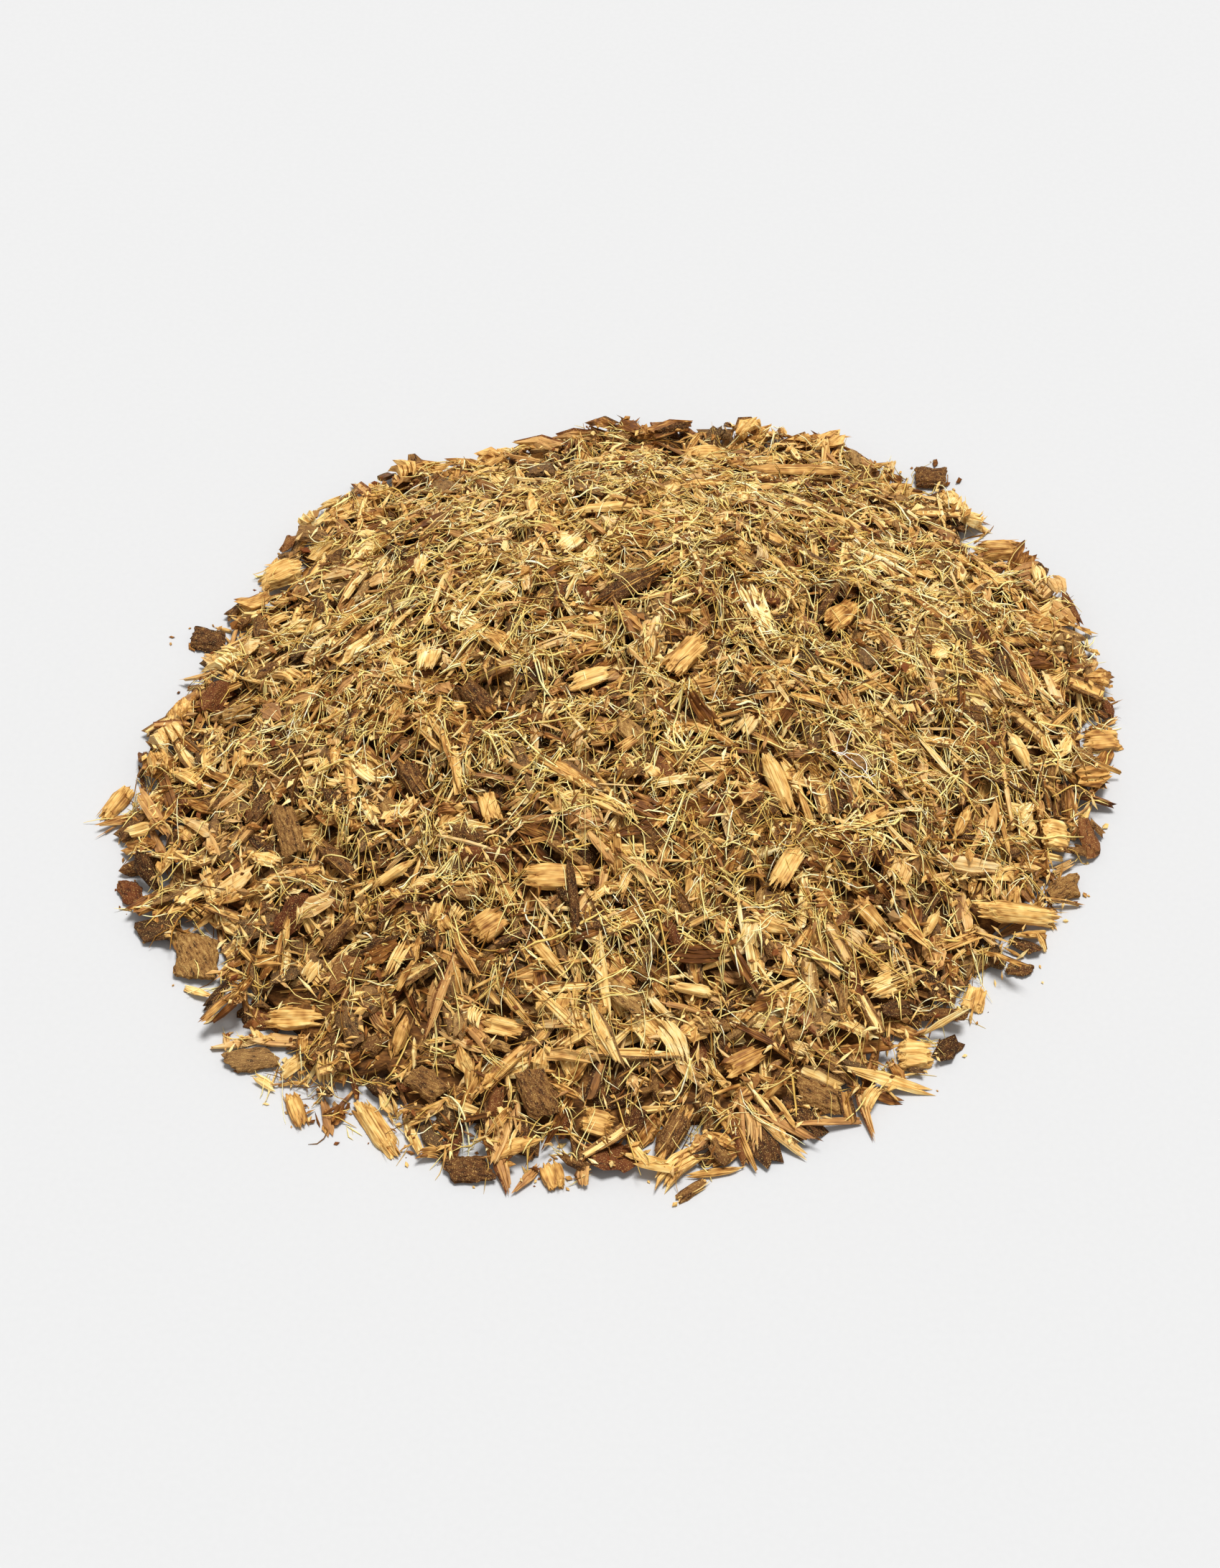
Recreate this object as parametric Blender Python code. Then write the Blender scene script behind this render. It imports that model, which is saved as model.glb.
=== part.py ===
"""Licorice root, cut and sifted: a poured heap of shreds with its largest pieces lying on it and round it.

The heap is one lumpy solid with small shreds fused to it. The pieces big enough to tell apart are solids of
their own: wood chips with split ends, bark flakes, root sticks cut lengthways, splinters and fibrous tufts.
The heap stands on z = 0, and +X runs along its longer side.
"""

import math
import random

import bmesh
import bpy
from mathutils import Matrix, Vector, noise
from mathutils.geometry import delaunay_2d_cdt

MM = 0.001

# The heap's own sizes
HEAP_HEIGHT = 36 * MM
RIM_THICKNESS = 1.6 * MM
RIM_RADII_MM = (
    96, 97, 97, 99, 98, 90, 89, 87, 88, 88, 84, 82,
    89, 92, 93, 95, 97, 95, 95, 93, 92, 89, 91, 93,
)  # fmt: skip
RIM_POINTS = 66
RIM_RAGGED = 1.6 * MM
DOME_POWER = 1.25
SUMMIT = Vector((7 * MM, 3 * MM))
SWELL_SPAN = 34 * MM
SWELL_DEPTH = 2.2 * MM
FACET_SPAN = 8.8 * MM
FACET_SCATTER = 0.3
FACET_REACH = 0.955
FACET_LUMP = 0.8 * MM

# The small shreds that are fused to the heap, wherever no separate piece lies
SHRED_PLACES = 170
SHRED_REACH = 0.97
SHRED_CLEAR = 3.4 * MM
SHRED_LENGTH = (6 * MM, 12 * MM)
SHRED_WIDTH = (2.2 * MM, 4.0 * MM)
SHRED_RISE = 0.75 * MM
SHRED_TILT = math.radians(16)
SHRED_LIFT = 0.1 * MM

# How the separate pieces lie
PIECE_GAP = 0.35 * MM
POCKET_SIDES = 8
SINK_SHARE = 0.42
SLOPE_REACH = 4 * MM
FLOOR_SHARE = 0.985
SETTLE_TILT = math.radians(5)

# Each kind's thickness as a share of its width
CHIP_THICKNESS = 0.46
FLAKE_THICKNESS = 0.24
STICK_THICKNESS = 0.56
SPLINTER_THICKNESS = 0.60
TUFT_THICKNESS = 0.38

# Pieces: distance right of the middle, distance behind it, heading in degrees, length, width, in millimetres
WOOD_CHIPS = (
    (-10, -48, -3, 14.0, 4.4),
    (-23, -56, 35, 7.4, 5.0),
    (32, -45, 65, 10.2, 4.0),
    (-3, -89, -18, 6.4, 4.8),
    (24, -77, 30, 9.4, 3.8),
    (-20, -73, -15, 8.8, 3.6),
    (-11, -98, -74, 6.2, 4.0),
    (-59, -66, -6, 12.6, 4.0),
    (-69, 47, 15, 10.4, 6.0),
    (-23, -34, -75, 7.2, 3.6),
    (14, -4, 51, 12.0, 4.6),
    (-4, -8, 18, 10.6, 3.6),
    (45, 15, 52, 12.4, 4.8),
    (98, 4, 4, 8.4, 4.6),
    (86, -22, 2, 7.2, 6.0),
    (68, -59, 73, 6.2, 4.0),
    (56, -72, 0, 7.2, 5.6),
    (48, -49, -37, 9.0, 3.6),
)
BARK_FLAKES = (
    (-14, -84, -57, 10.0, 7.6),
    (-26, -97, -12, 9.2, 6.4),
    (-79, -50, -69, 11.0, 9.0),
    (-67, -73, 2, 10.6, 6.2),
    (-34, -81, -40, 8.4, 6.4),
    (-62, -29, -74, 14.0, 5.6),
    (38, -82, -28, 10.6, 5.4),
    (87, -33, 35, 7.6, 6.0),
    (-15, 68, 78, 9.6, 6.8),
    (-93, -34, -54, 7.2, 5.0),
    (68, 77, -14, 8.2, 6.8),
    (-83, 31, -20, 8.2, 6.2),
    (77, -52, -6, 6.0, 4.0),
)
ROOT_STICKS = (
    (-43, -88, -59, 15.0, 4.4),
    (11, -90, 63, 12.6, 4.8),
    (-58, -84, -70, 8.6, 3.6),
    (-98, -12, 62, 10.0, 3.8),
    (-75, 6, -10, 10.2, 4.0),
    (-26, -9, -55, 12.8, 5.0),
    (-52, -38, -47, 12.6, 3.4),
    (-38, -25, -63, 12.6, 4.0),
    (20, 80, 30, 10.4, 6.0),
    (38, 70, 5, 24.0, 3.8),
    (3, 15, 38, 16.0, 4.6),
    (81, 56, 4, 10.4, 5.6),
    (31, -28, -65, 15.2, 4.0),
    (77, -42, 3, 19.0, 4.4),
    (14, -101, 37, 7.2, 2.8),
    (-52, -52, 43, 10.6, 3.4),
)
SPLINTERS = (
    (-12, -62, -53, 12.0, 2.5),
    (15, -66, -10, 13.0, 2.2),
    (-39, -72, 68, 9.0, 2.7),
    (-41, -43, 26, 12.0, 2.2),
    (-1, 43, 3, 17.0, 2.4),
    (80, -6, -55, 11.6, 2.7),
    (67, -26, 66, 11.0, 2.4),
    (60, -47, 65, 8.4, 2.3),
)
TUFTS = (
    (50, -61, 27, 7.8, 5.0),
    (-9, 30, 60, 6.4, 4.6),
    (-36, 2, 80, 6.8, 5.0),
)

# Colours, as display red, green and blue from 0 to 1
HEAP_COLOUR = (0.60, 0.44, 0.24)
WOOD_COLOUR = (0.82, 0.65, 0.36)
BARK_COLOUR = (0.42, 0.31, 0.19)
STICK_COLOUR = (0.58, 0.42, 0.24)
SPLINTER_COLOUR = (0.86, 0.70, 0.40)
TUFT_COLOUR = (0.88, 0.75, 0.50)


def linear(display):
    """A display colour as the linear colour that a shader takes."""
    return tuple(((c + 0.055) / 1.055) ** 2.4 for c in display) + (1.0,)


def dry_material(name, colour, roughness):
    material = bpy.data.materials.new(name)
    material.use_nodes = True
    shader = material.node_tree.nodes["Principled BSDF"]
    shader.inputs["Base Color"].default_value = linear(colour)
    shader.inputs["Roughness"].default_value = roughness
    shader.inputs["Metallic"].default_value = 0.0
    return material


def clear_scene():
    for old in list(bpy.data.objects):
        bpy.data.objects.remove(old)


def add_object(name, bm, parent, material=None):
    """Turns a bmesh into an object on the heap's empty, with its faces pointing out."""
    bmesh.ops.recalc_face_normals(bm, faces=bm.faces)
    mesh = bpy.data.meshes.new(name)
    bm.to_mesh(mesh)
    bm.free()
    made = bpy.data.objects.new(name, mesh)
    made.parent = parent
    if material:
        mesh.materials.append(material)
    bpy.context.scene.collection.objects.link(made)
    return made


def as_cutter(helper):
    helper.hide_render = True
    helper.display_type = "WIRE"
    return helper


def rim_radius(azimuth):
    """Distance from the middle to the heap's edge, on a smooth curve through RIM_RADII_MM."""
    place = azimuth / math.tau * len(RIM_RADII_MM)
    before = math.floor(place)
    t = place - before
    a, b, c, d = (RIM_RADII_MM[(before + k) % len(RIM_RADII_MM)] for k in (-1, 0, 1, 2))
    curve = b + 0.5 * t * (c - a + t * (2 * a - 5 * b + 4 * c - d + t * (3 * (b - c) + d - a)))
    return curve * MM


def edge_share(x, y):
    """0 in the middle of the heap and 1 on its edge."""
    return math.hypot(x, y) / rim_radius(math.atan2(y, x))


def mound_height(x, y):
    """Height of the heap's smooth form. The summit stands a little off the middle."""
    inward = max(0.0, 1 - edge_share(x, y))
    share = min(1.0, edge_share(x - SUMMIT.x * inward, y - SUMMIT.y * inward))
    dome = (1 - share * share) ** DOME_POWER
    swell = SWELL_DEPTH * noise.noise(Vector((x, y, 0)) / SWELL_SPAN) * min(1.0, 4 * inward)
    return RIM_THICKNESS + (HEAP_HEIGHT - RIM_THICKNESS) * dome + swell


def mound_normal(x, y):
    slope_x = mound_height(x + SLOPE_REACH, y) - mound_height(x - SLOPE_REACH, y)
    slope_y = mound_height(x, y + SLOPE_REACH) - mound_height(x, y - SLOPE_REACH)
    return Vector((-slope_x, -slope_y, 2 * SLOPE_REACH)).normalized()


def rim_outline(rng):
    """The heap's ragged edge, as points on the floor."""
    outline = []
    for k in range(RIM_POINTS):
        azimuth = math.tau * k / RIM_POINTS
        radius = rim_radius(azimuth) + rng.uniform(-RIM_RAGGED, RIM_RAGGED)
        outline.append(Vector((radius * math.cos(azimuth), radius * math.sin(azimuth))))
    return outline


def facet_points(rng):
    """Loosely spaced points inside the edge, where the heap's facets meet."""
    points = []
    row_step = FACET_SPAN * math.sqrt(3) / 2
    reach = max(RIM_RADII_MM) * MM
    rows = int(reach / row_step)
    columns = int(reach / FACET_SPAN) + 1
    for row in range(-rows, rows + 1):
        for column in range(-columns, columns + 1):
            x = (column + 0.5 * (row % 2) + rng.uniform(-1, 1) * FACET_SCATTER) * FACET_SPAN
            y = row * row_step + rng.uniform(-1, 1) * FACET_SCATTER * FACET_SPAN
            if edge_share(x, y) < FACET_REACH:
                points.append(Vector((x, y)))
    return points


def mound_mesh():
    """A closed faceted dome: top facets, a low wall round the edge and a flat underside."""
    rng = random.Random(11)
    outline = rim_outline(rng)
    inner = facet_points(rng)
    loop = [(k, (k + 1) % RIM_POINTS) for k in range(RIM_POINTS)]
    plan, _, triangles, *_ = delaunay_2d_cdt(outline + inner, loop, [], 1, 1e-7)
    bm = bmesh.new()
    top = []
    for k, p in enumerate(plan):
        z = RIM_THICKNESS if k < RIM_POINTS else mound_height(p.x, p.y) + rng.uniform(-1, 1) * FACET_LUMP
        top.append(bm.verts.new((p.x, p.y, z)))
    for triangle in triangles:
        bm.faces.new([top[k] for k in triangle])
    foot = [bm.verts.new((p.x, p.y, 0)) for p in plan[:RIM_POINTS]]
    for a, b in loop:
        bm.faces.new((top[a], foot[a], foot[b], top[b]))
    bm.faces.new(reversed(foot))
    return bm


def skin(bm, rings):
    """Walls between rings of points, and each end closed by a fan."""
    made = [[bm.verts.new(p) for p in ring] for ring in rings]
    count = len(rings[0])
    for near, far in zip(made, made[1:]):
        for k in range(count):
            following = (k + 1) % count
            bm.faces.new((near[k], near[following], far[following], far[k]))
    for ring in (made[0], made[-1]):
        middle = bm.verts.new(sum((v.co for v in ring), Vector()) / count)
        for k in range(count):
            bm.faces.new((ring[k], ring[(k + 1) % count], middle))


def lengthways(length, section, stations, rng, ragged, bow):
    """A piece split along the grain: a section swept along X, with ragged ends and a slight bow.

    Each station is a share of the half length and the section's scale there."""
    bm = bmesh.new()
    rings = []
    for place, scale in stations:
        ring = []
        for y, z in section:
            x = place * length / 2
            if abs(place) == 1:
                x += rng.uniform(-ragged, ragged)
            lift = bow * (1 - place * place)
            ring.append(Vector((x, y * scale * rng.uniform(0.9, 1.1), max(0.0, z * scale) + lift)))
        rings.append(ring)
    skin(bm, rings)
    return bm


def wood_chip(length, width, rng):
    """A plank of pale root wood: flat below, ridged above, split unevenly at both ends."""
    thick = CHIP_THICKNESS * width
    half = width / 2
    tops = [thick * rng.uniform(0.7, 1.0) for _ in range(4)]
    section = [(-half, 0), (half, 0), (half, tops[0])]
    section += [(half / 3, tops[1]), (-half / 3, tops[2]), (-half, tops[3])]
    stations = ((-1, 0.8), (-0.35, 1.0), (0.4, rng.uniform(0.85, 1.0)), (1, rng.uniform(0.55, 0.9)))
    return lengthways(length, section, stations, rng, 0.07 * length, rng.uniform(0, 0.15) * thick)


def root_stick(length, width, rng):
    """A root cut lengthways: the flat cut below and the round bark side above."""
    thick = STICK_THICKNESS * width
    section = [(-width / 2, 0), (width / 2, 0)]
    for k in range(1, 6):
        a = math.pi * k / 6
        section.append((width / 2 * math.cos(a), thick * math.sin(a) * rng.uniform(0.85, 1.05)))
    stations = ((-1, 0.72), (-0.4, 1.0), (0.3, rng.uniform(0.9, 1.0)), (1, rng.uniform(0.6, 0.85)))
    return lengthways(length, section, stations, rng, 0.05 * length, rng.uniform(0, 0.1) * thick)


def splinter(length, width, rng):
    """A long thin piece that runs out to a point at both ends."""
    thick = SPLINTER_THICKNESS * width
    section = [(-width / 2, 0), (width / 2, 0), (width * 0.3, thick), (-width * 0.35, thick * 0.85)]
    stations = ((-1, 0.22), (-0.45, 0.9), (0.2, 1.0), (1, 0.3))
    return lengthways(length, section, stations, rng, 0.03 * length, rng.uniform(0, 0.3) * thick)


def bark_flake(length, width, rng):
    """A broken plate of bark: an uneven outline, thin, and arched as the root was round."""
    thick = FLAKE_THICKNESS * width
    corners = 9
    outline = []
    for k in range(corners):
        a = math.tau * (k + rng.uniform(-0.25, 0.25)) / corners
        reach = rng.uniform(0.82, 1.06)
        outline.append((length / 2 * math.cos(a) * reach, width / 2 * math.sin(a) * reach))
    arch = 0.16 * width

    def lift(y):
        return arch * (1 - (2 * y / width) ** 2)

    rings = []
    for inset, level in ((0.92, 0.0), (1.0, 0.6), (0.62, 1.0)):
        ring = []
        for x, y in outline:
            rough = rng.uniform(-0.12, 0.12) * thick if level else 0.0
            z = max(0.0, lift(y * inset)) + level * thick + rough
            ring.append(Vector((x * inset, y * inset, z)))
        rings.append(ring)
    bm = bmesh.new()
    skin(bm, rings)
    return bm


def tuft(length, width, rng):
    """A soft fibrous piece, narrow where it broke off and splayed into points at the other end."""
    thick = TUFT_THICKNESS * width
    fingers = 4
    outline = [(-length / 2, -width * 0.22), (-length * 0.1, -width * 0.42)]
    for k in range(fingers):
        y = width * (k / (fingers - 1) - 0.5)
        outline.append((length / 2 * rng.uniform(0.8, 1.05), y))
        if k < fingers - 1:
            outline.append((length * rng.uniform(0.2, 0.3), y + width * 0.5 / (fingers - 1)))
    outline += [(-length * 0.1, width * 0.40), (-length / 2, width * 0.25)]
    bm = bmesh.new()
    rings = []
    for inset, z in ((0.9, 0.0), (1.0, 0.5 * thick), (0.75, thick)):
        rings.append([Vector((x * inset, y * inset, z)) for x, y in outline])
    skin(bm, rings)
    return bm


def resting_place(x, y, heading, sink, rng):
    """Where a piece lies: turned to its heading on the heap's slope, or flat on the floor past the edge."""
    if edge_share(x, y) > FLOOR_SHARE:
        up = Vector((0, 0, 1))
        height = 0.0
    else:
        up = mound_normal(x, y)
        height = mound_height(x, y)
    along = Vector((math.cos(heading), math.sin(heading), 0))
    along = (along - up * along.dot(up)).normalized()
    across = up.cross(along)
    frame = Matrix((along, across, up)).transposed().to_4x4()
    if height:
        frame = frame @ Matrix.Rotation(rng.uniform(-1, 1) * SETTLE_TILT, 4, "X")
        frame = frame @ Matrix.Rotation(rng.uniform(-1, 1) * SETTLE_TILT, 4, "Y")
    else:
        sink = 0.0
    return Matrix.Translation(Vector((x, y, height)) - up * sink) @ frame


def lie_down(bm, place):
    """Moves a piece to its place, and up onto the floor if a corner would go through it."""
    bm.transform(place)
    lowest = min(v.co.z for v in bm.verts)
    if lowest < 0:
        bmesh.ops.translate(bm, verts=bm.verts, vec=(0, 0, -lowest))
        place = Matrix.Translation((0, 0, -lowest)) @ place
    return place


def plan_corners(points, sides):
    """Corners of the straight-sided outline, PIECE_GAP wider all round, that a piece fits in seen from above.

    Each side faces one of a few even directions and touches the piece's widest point that way."""
    facing = [Vector((math.cos(a), math.sin(a))) for a in (math.tau * k / sides for k in range(sides))]
    reach = [max(n.dot(p.xy) for p in points) + PIECE_GAP for n in facing]
    corners = []
    for k in range(sides):
        n, m = facing[k], facing[(k + 1) % sides]
        cross = n.x * m.y - n.y * m.x
        h, g = reach[k], reach[(k + 1) % sides]
        corners.append(Vector(((h * m.y - g * n.y) / cross, (g * n.x - h * m.x) / cross)))
    return corners


def pocket_prism(bm, place):
    """The room that the heap leaves for a piece: its outline from above, through its whole thickness."""
    back = place.inverted()
    points = [back @ v.co for v in bm.verts]
    low = min(p.z for p in points) - PIECE_GAP
    high = max(p.z for p in points) + PIECE_GAP
    corners = plan_corners(points, POCKET_SIDES)
    prism = bmesh.new()
    floor = [prism.verts.new(place @ Vector((c.x, c.y, low))) for c in corners]
    lid = [prism.verts.new(place @ Vector((c.x, c.y, high))) for c in corners]
    for k in range(POCKET_SIDES):
        following = (k + 1) % POCKET_SIDES
        prism.faces.new((floor[k], floor[following], lid[following], lid[k]))
    prism.faces.new(reversed(floor))
    prism.faces.new(lid)
    return prism


def merge_into(target, source):
    """Adds a bmesh's faces to another's."""
    copied = [target.verts.new(v.co) for v in source.verts]
    source.verts.index_update()
    for face in source.faces:
        target.faces.new([copied[v.index] for v in face.verts])
    source.free()


def lay_pieces(kind, shape, thickness, rows, material, parent, pockets):
    """Makes one object for each row of a kind, and adds its room in the heap to pockets."""
    for number, (right, behind, heading, length, width) in enumerate(rows, 1):
        rng = random.Random(f"{kind} {number}")
        bm = shape(length * MM, width * MM, rng)
        sink = SINK_SHARE * thickness * width * MM
        place = resting_place(right * MM, behind * MM, math.radians(heading), sink, rng)
        place = lie_down(bm, place)
        merge_into(pockets, pocket_prism(bm, place))
        bm.transform(place.inverted())
        piece = add_object(f"{kind}_{number:02d}", bm, parent, material)
        piece.matrix_local = place


def shred_block(rng):
    """A tapered sliver with slanted ends, the simplest form of a shred."""
    length = rng.uniform(*SHRED_LENGTH)
    width = rng.uniform(*SHRED_WIDTH)
    thick = width * rng.uniform(0.5, 0.7)
    bm = bmesh.new()
    bmesh.ops.create_cube(bm, size=1)
    for v in bm.verts:
        taper = rng.uniform(0.55, 1.0)
        v.co.x *= length * rng.uniform(0.85, 1.1)
        v.co.y *= width * taper
        v.co.z *= thick
    return bm


def clear_of_pieces(x, y):
    """True where a shred would lie clear of every separate piece."""
    here = Vector((x, y))
    for rows in (WOOD_CHIPS, BARK_FLAKES, ROOT_STICKS, SPLINTERS, TUFTS):
        for right, behind, heading, length, width in rows:
            middle = Vector((right, behind)) * MM
            along = Vector((math.cos(math.radians(heading)), math.sin(math.radians(heading))))
            half = length * MM / 2
            nearest = middle + along * max(-half, min(half, (here - middle).dot(along)))
            if (here - nearest).length < width * MM / 2 + SHRED_CLEAR:
                return False
    return True


def strewn_shreds():
    """Shreds at even spacing over the heap, tilted every way, to be fused to it."""
    rng = random.Random(29)
    strewn = bmesh.new()
    golden = math.pi * (3 - math.sqrt(5))
    for k in range(SHRED_PLACES):
        share = math.sqrt((k + 0.5) / SHRED_PLACES)
        azimuth = k * golden
        radius = (SHRED_REACH * share + rng.uniform(-0.02, 0.02)) * rim_radius(azimuth)
        x, y = radius * math.cos(azimuth), radius * math.sin(azimuth)
        if not clear_of_pieces(x, y):
            continue
        up = mound_normal(x, y)
        turn = Matrix.Rotation(rng.uniform(0, math.tau), 4, "Z")
        tilt = Matrix.Rotation(rng.uniform(-1, 1) * SHRED_TILT, 4, "Y")
        lean = up.to_track_quat("Z", "Y").to_matrix().to_4x4()
        z = mound_height(x, y) + rng.uniform(-0.5, 0.5) * SHRED_RISE
        bm = shred_block(rng)
        bm.transform(Matrix.Translation((x, y, z)) @ lean @ turn @ tilt)
        lowest = min(v.co.z for v in bm.verts)
        if lowest < SHRED_LIFT:
            bmesh.ops.translate(bm, verts=bm.verts, vec=(0, 0, SHRED_LIFT - lowest))
        merge_into(strewn, bm)
    return strewn


def add_boolean(target, name, operation, helper):
    step = target.modifiers.new(name, "BOOLEAN")
    step.operation = operation
    step.solver = "EXACT"
    step.use_self = True
    step.object = helper


def centre_over_origin(root):
    """Slides everything so that the middle of the whole object's box is over the origin."""
    bpy.context.view_layer.update()
    graph = bpy.context.evaluated_depsgraph_get()
    corners = []
    for made in root.children:
        if not made.hide_render:
            shown = made.evaluated_get(graph)
            corners += [shown.matrix_world @ v.co for v in shown.data.vertices]
    for axis in (0, 1):
        values = [p[axis] for p in corners]
        root.location[axis] = -(min(values) + max(values)) / 2


def build():
    clear_scene()
    root = bpy.data.objects.new("licorice_root", None)
    bpy.context.scene.collection.objects.link(root)
    pockets = bmesh.new()
    lay_pieces("wood_chip", wood_chip, CHIP_THICKNESS, WOOD_CHIPS,
               dry_material("pale_wood", WOOD_COLOUR, 0.8), root, pockets)
    lay_pieces("bark_flake", bark_flake, FLAKE_THICKNESS, BARK_FLAKES,
               dry_material("dark_bark", BARK_COLOUR, 0.9), root, pockets)
    lay_pieces("root_stick", root_stick, STICK_THICKNESS, ROOT_STICKS,
               dry_material("barked_wood", STICK_COLOUR, 0.85), root, pockets)
    lay_pieces("splinter", splinter, SPLINTER_THICKNESS, SPLINTERS,
               dry_material("yellow_wood", SPLINTER_COLOUR, 0.75), root, pockets)
    lay_pieces("fibre_tuft", tuft, TUFT_THICKNESS, TUFTS,
               dry_material("cream_fibre", TUFT_COLOUR, 0.85), root, pockets)
    heap = add_object("shred_heap", mound_mesh(), root, dry_material("shreds", HEAP_COLOUR, 0.9))
    shreds = as_cutter(add_object("strewn_shreds", strewn_shreds(), root))
    room = as_cutter(add_object("piece_pockets", pockets, root))
    add_boolean(heap, "fuse shreds", "UNION", shreds)
    add_boolean(heap, "room for pieces", "DIFFERENCE", room)
    centre_over_origin(root)


build()
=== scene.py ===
# %% [markdown]
# # Licorice root, cut and sifted
# Dried licorice root is cut across and along, then sifted. What is left is a springy heap of pale yellow
# wood chips, brown bark, thin sticks and a great many bright fibres. One lumpy mesh with a pattern on it
# would be quicker to make, but nothing would stand out of it. So this lesson dresses a plain solid of the
# heap: the largest pieces are refined one by one, and everything smaller is dropped on the heap in
# layers.
#
# The model's solids come first. They fix the size of the heap and the place of every large piece, so
# nothing has to be fitted later.

# %% Load the solids
import math

import bmesh
import bpy
import numpy as np
from mathutils import Matrix, Vector, noise
from mathutils.bvhtree import BVHTree


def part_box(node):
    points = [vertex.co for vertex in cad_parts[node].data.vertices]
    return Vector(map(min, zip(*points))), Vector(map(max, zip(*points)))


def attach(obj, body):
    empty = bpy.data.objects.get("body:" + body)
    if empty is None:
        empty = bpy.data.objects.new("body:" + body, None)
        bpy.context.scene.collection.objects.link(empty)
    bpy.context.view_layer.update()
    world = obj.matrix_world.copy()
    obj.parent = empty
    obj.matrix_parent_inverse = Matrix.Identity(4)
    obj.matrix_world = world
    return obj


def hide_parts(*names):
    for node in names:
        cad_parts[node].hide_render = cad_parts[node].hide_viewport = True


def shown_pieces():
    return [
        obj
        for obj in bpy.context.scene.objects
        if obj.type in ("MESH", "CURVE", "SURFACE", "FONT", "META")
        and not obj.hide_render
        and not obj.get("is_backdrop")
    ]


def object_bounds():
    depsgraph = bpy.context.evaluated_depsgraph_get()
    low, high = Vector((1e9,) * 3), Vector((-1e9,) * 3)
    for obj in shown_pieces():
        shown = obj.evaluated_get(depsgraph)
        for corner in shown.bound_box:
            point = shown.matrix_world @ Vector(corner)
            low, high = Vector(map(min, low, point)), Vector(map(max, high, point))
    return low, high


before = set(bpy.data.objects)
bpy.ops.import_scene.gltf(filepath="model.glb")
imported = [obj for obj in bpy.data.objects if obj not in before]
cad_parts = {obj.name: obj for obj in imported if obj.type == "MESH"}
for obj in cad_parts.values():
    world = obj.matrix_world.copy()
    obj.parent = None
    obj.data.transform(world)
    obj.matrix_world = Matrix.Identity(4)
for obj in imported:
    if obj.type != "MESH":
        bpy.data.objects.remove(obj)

MM = 0.001
CAD_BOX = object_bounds()
print("solids:", len(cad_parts), "box in mm:", [[round(c / MM, 1) for c in p] for p in CAD_BOX])

# %% [markdown]
# ## The camera
# The photograph looks down on the heap from the front, about halfway between level and straight down. A
# long lens from a little over half a metre keeps the far rim almost as wide as the near one.

# %% Camera
LOOK_AT = Vector((-1.0, 0.3, 0.0)) * MM
LOOK_DOWN = math.radians(51)
LOOK_FROM = 650 * MM
LENS = 75.2


def stand(name, data):
    """A new object in the scene."""
    made = bpy.data.objects.new(name, data)
    bpy.context.scene.collection.objects.link(made)
    return made


camera = stand("camera", bpy.data.cameras.new("camera"))
camera.data.lens = LENS
camera.data.clip_start = 10 * MM
camera.location = LOOK_AT + LOOK_FROM * Vector((0, -math.cos(LOOK_DOWN), math.sin(LOOK_DOWN)))
camera.rotation_euler = (math.pi / 2 - LOOK_DOWN, 0, 0)
bpy.context.scene.camera = camera
print("camera stands at", [round(c, 3) for c in camera.location])

# %% [markdown]
# ## Writing nodes as sums
# Materials and Geometry Nodes are both trees of nodes. They could be written node by node and link by
# link, but that hides the sum that they make. Here one small class adds nodes to a tree, and another
# wraps an output, so that `tone + 0.2 * streak` adds the Math nodes that do it.

# %% Node helpers
class Value:
    """An output of a node. A sum that uses it becomes a Math node."""

    def __init__(self, net, socket):
        self.net = net
        self.socket = socket

    def __add__(self, other):
        return self.net.maths("ADD", self, other)

    def __sub__(self, other):
        return self.net.maths("SUBTRACT", self, other)

    def __mul__(self, other):
        return self.net.maths("MULTIPLY", self, other)

    __radd__ = __add__
    __rmul__ = __mul__


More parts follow.
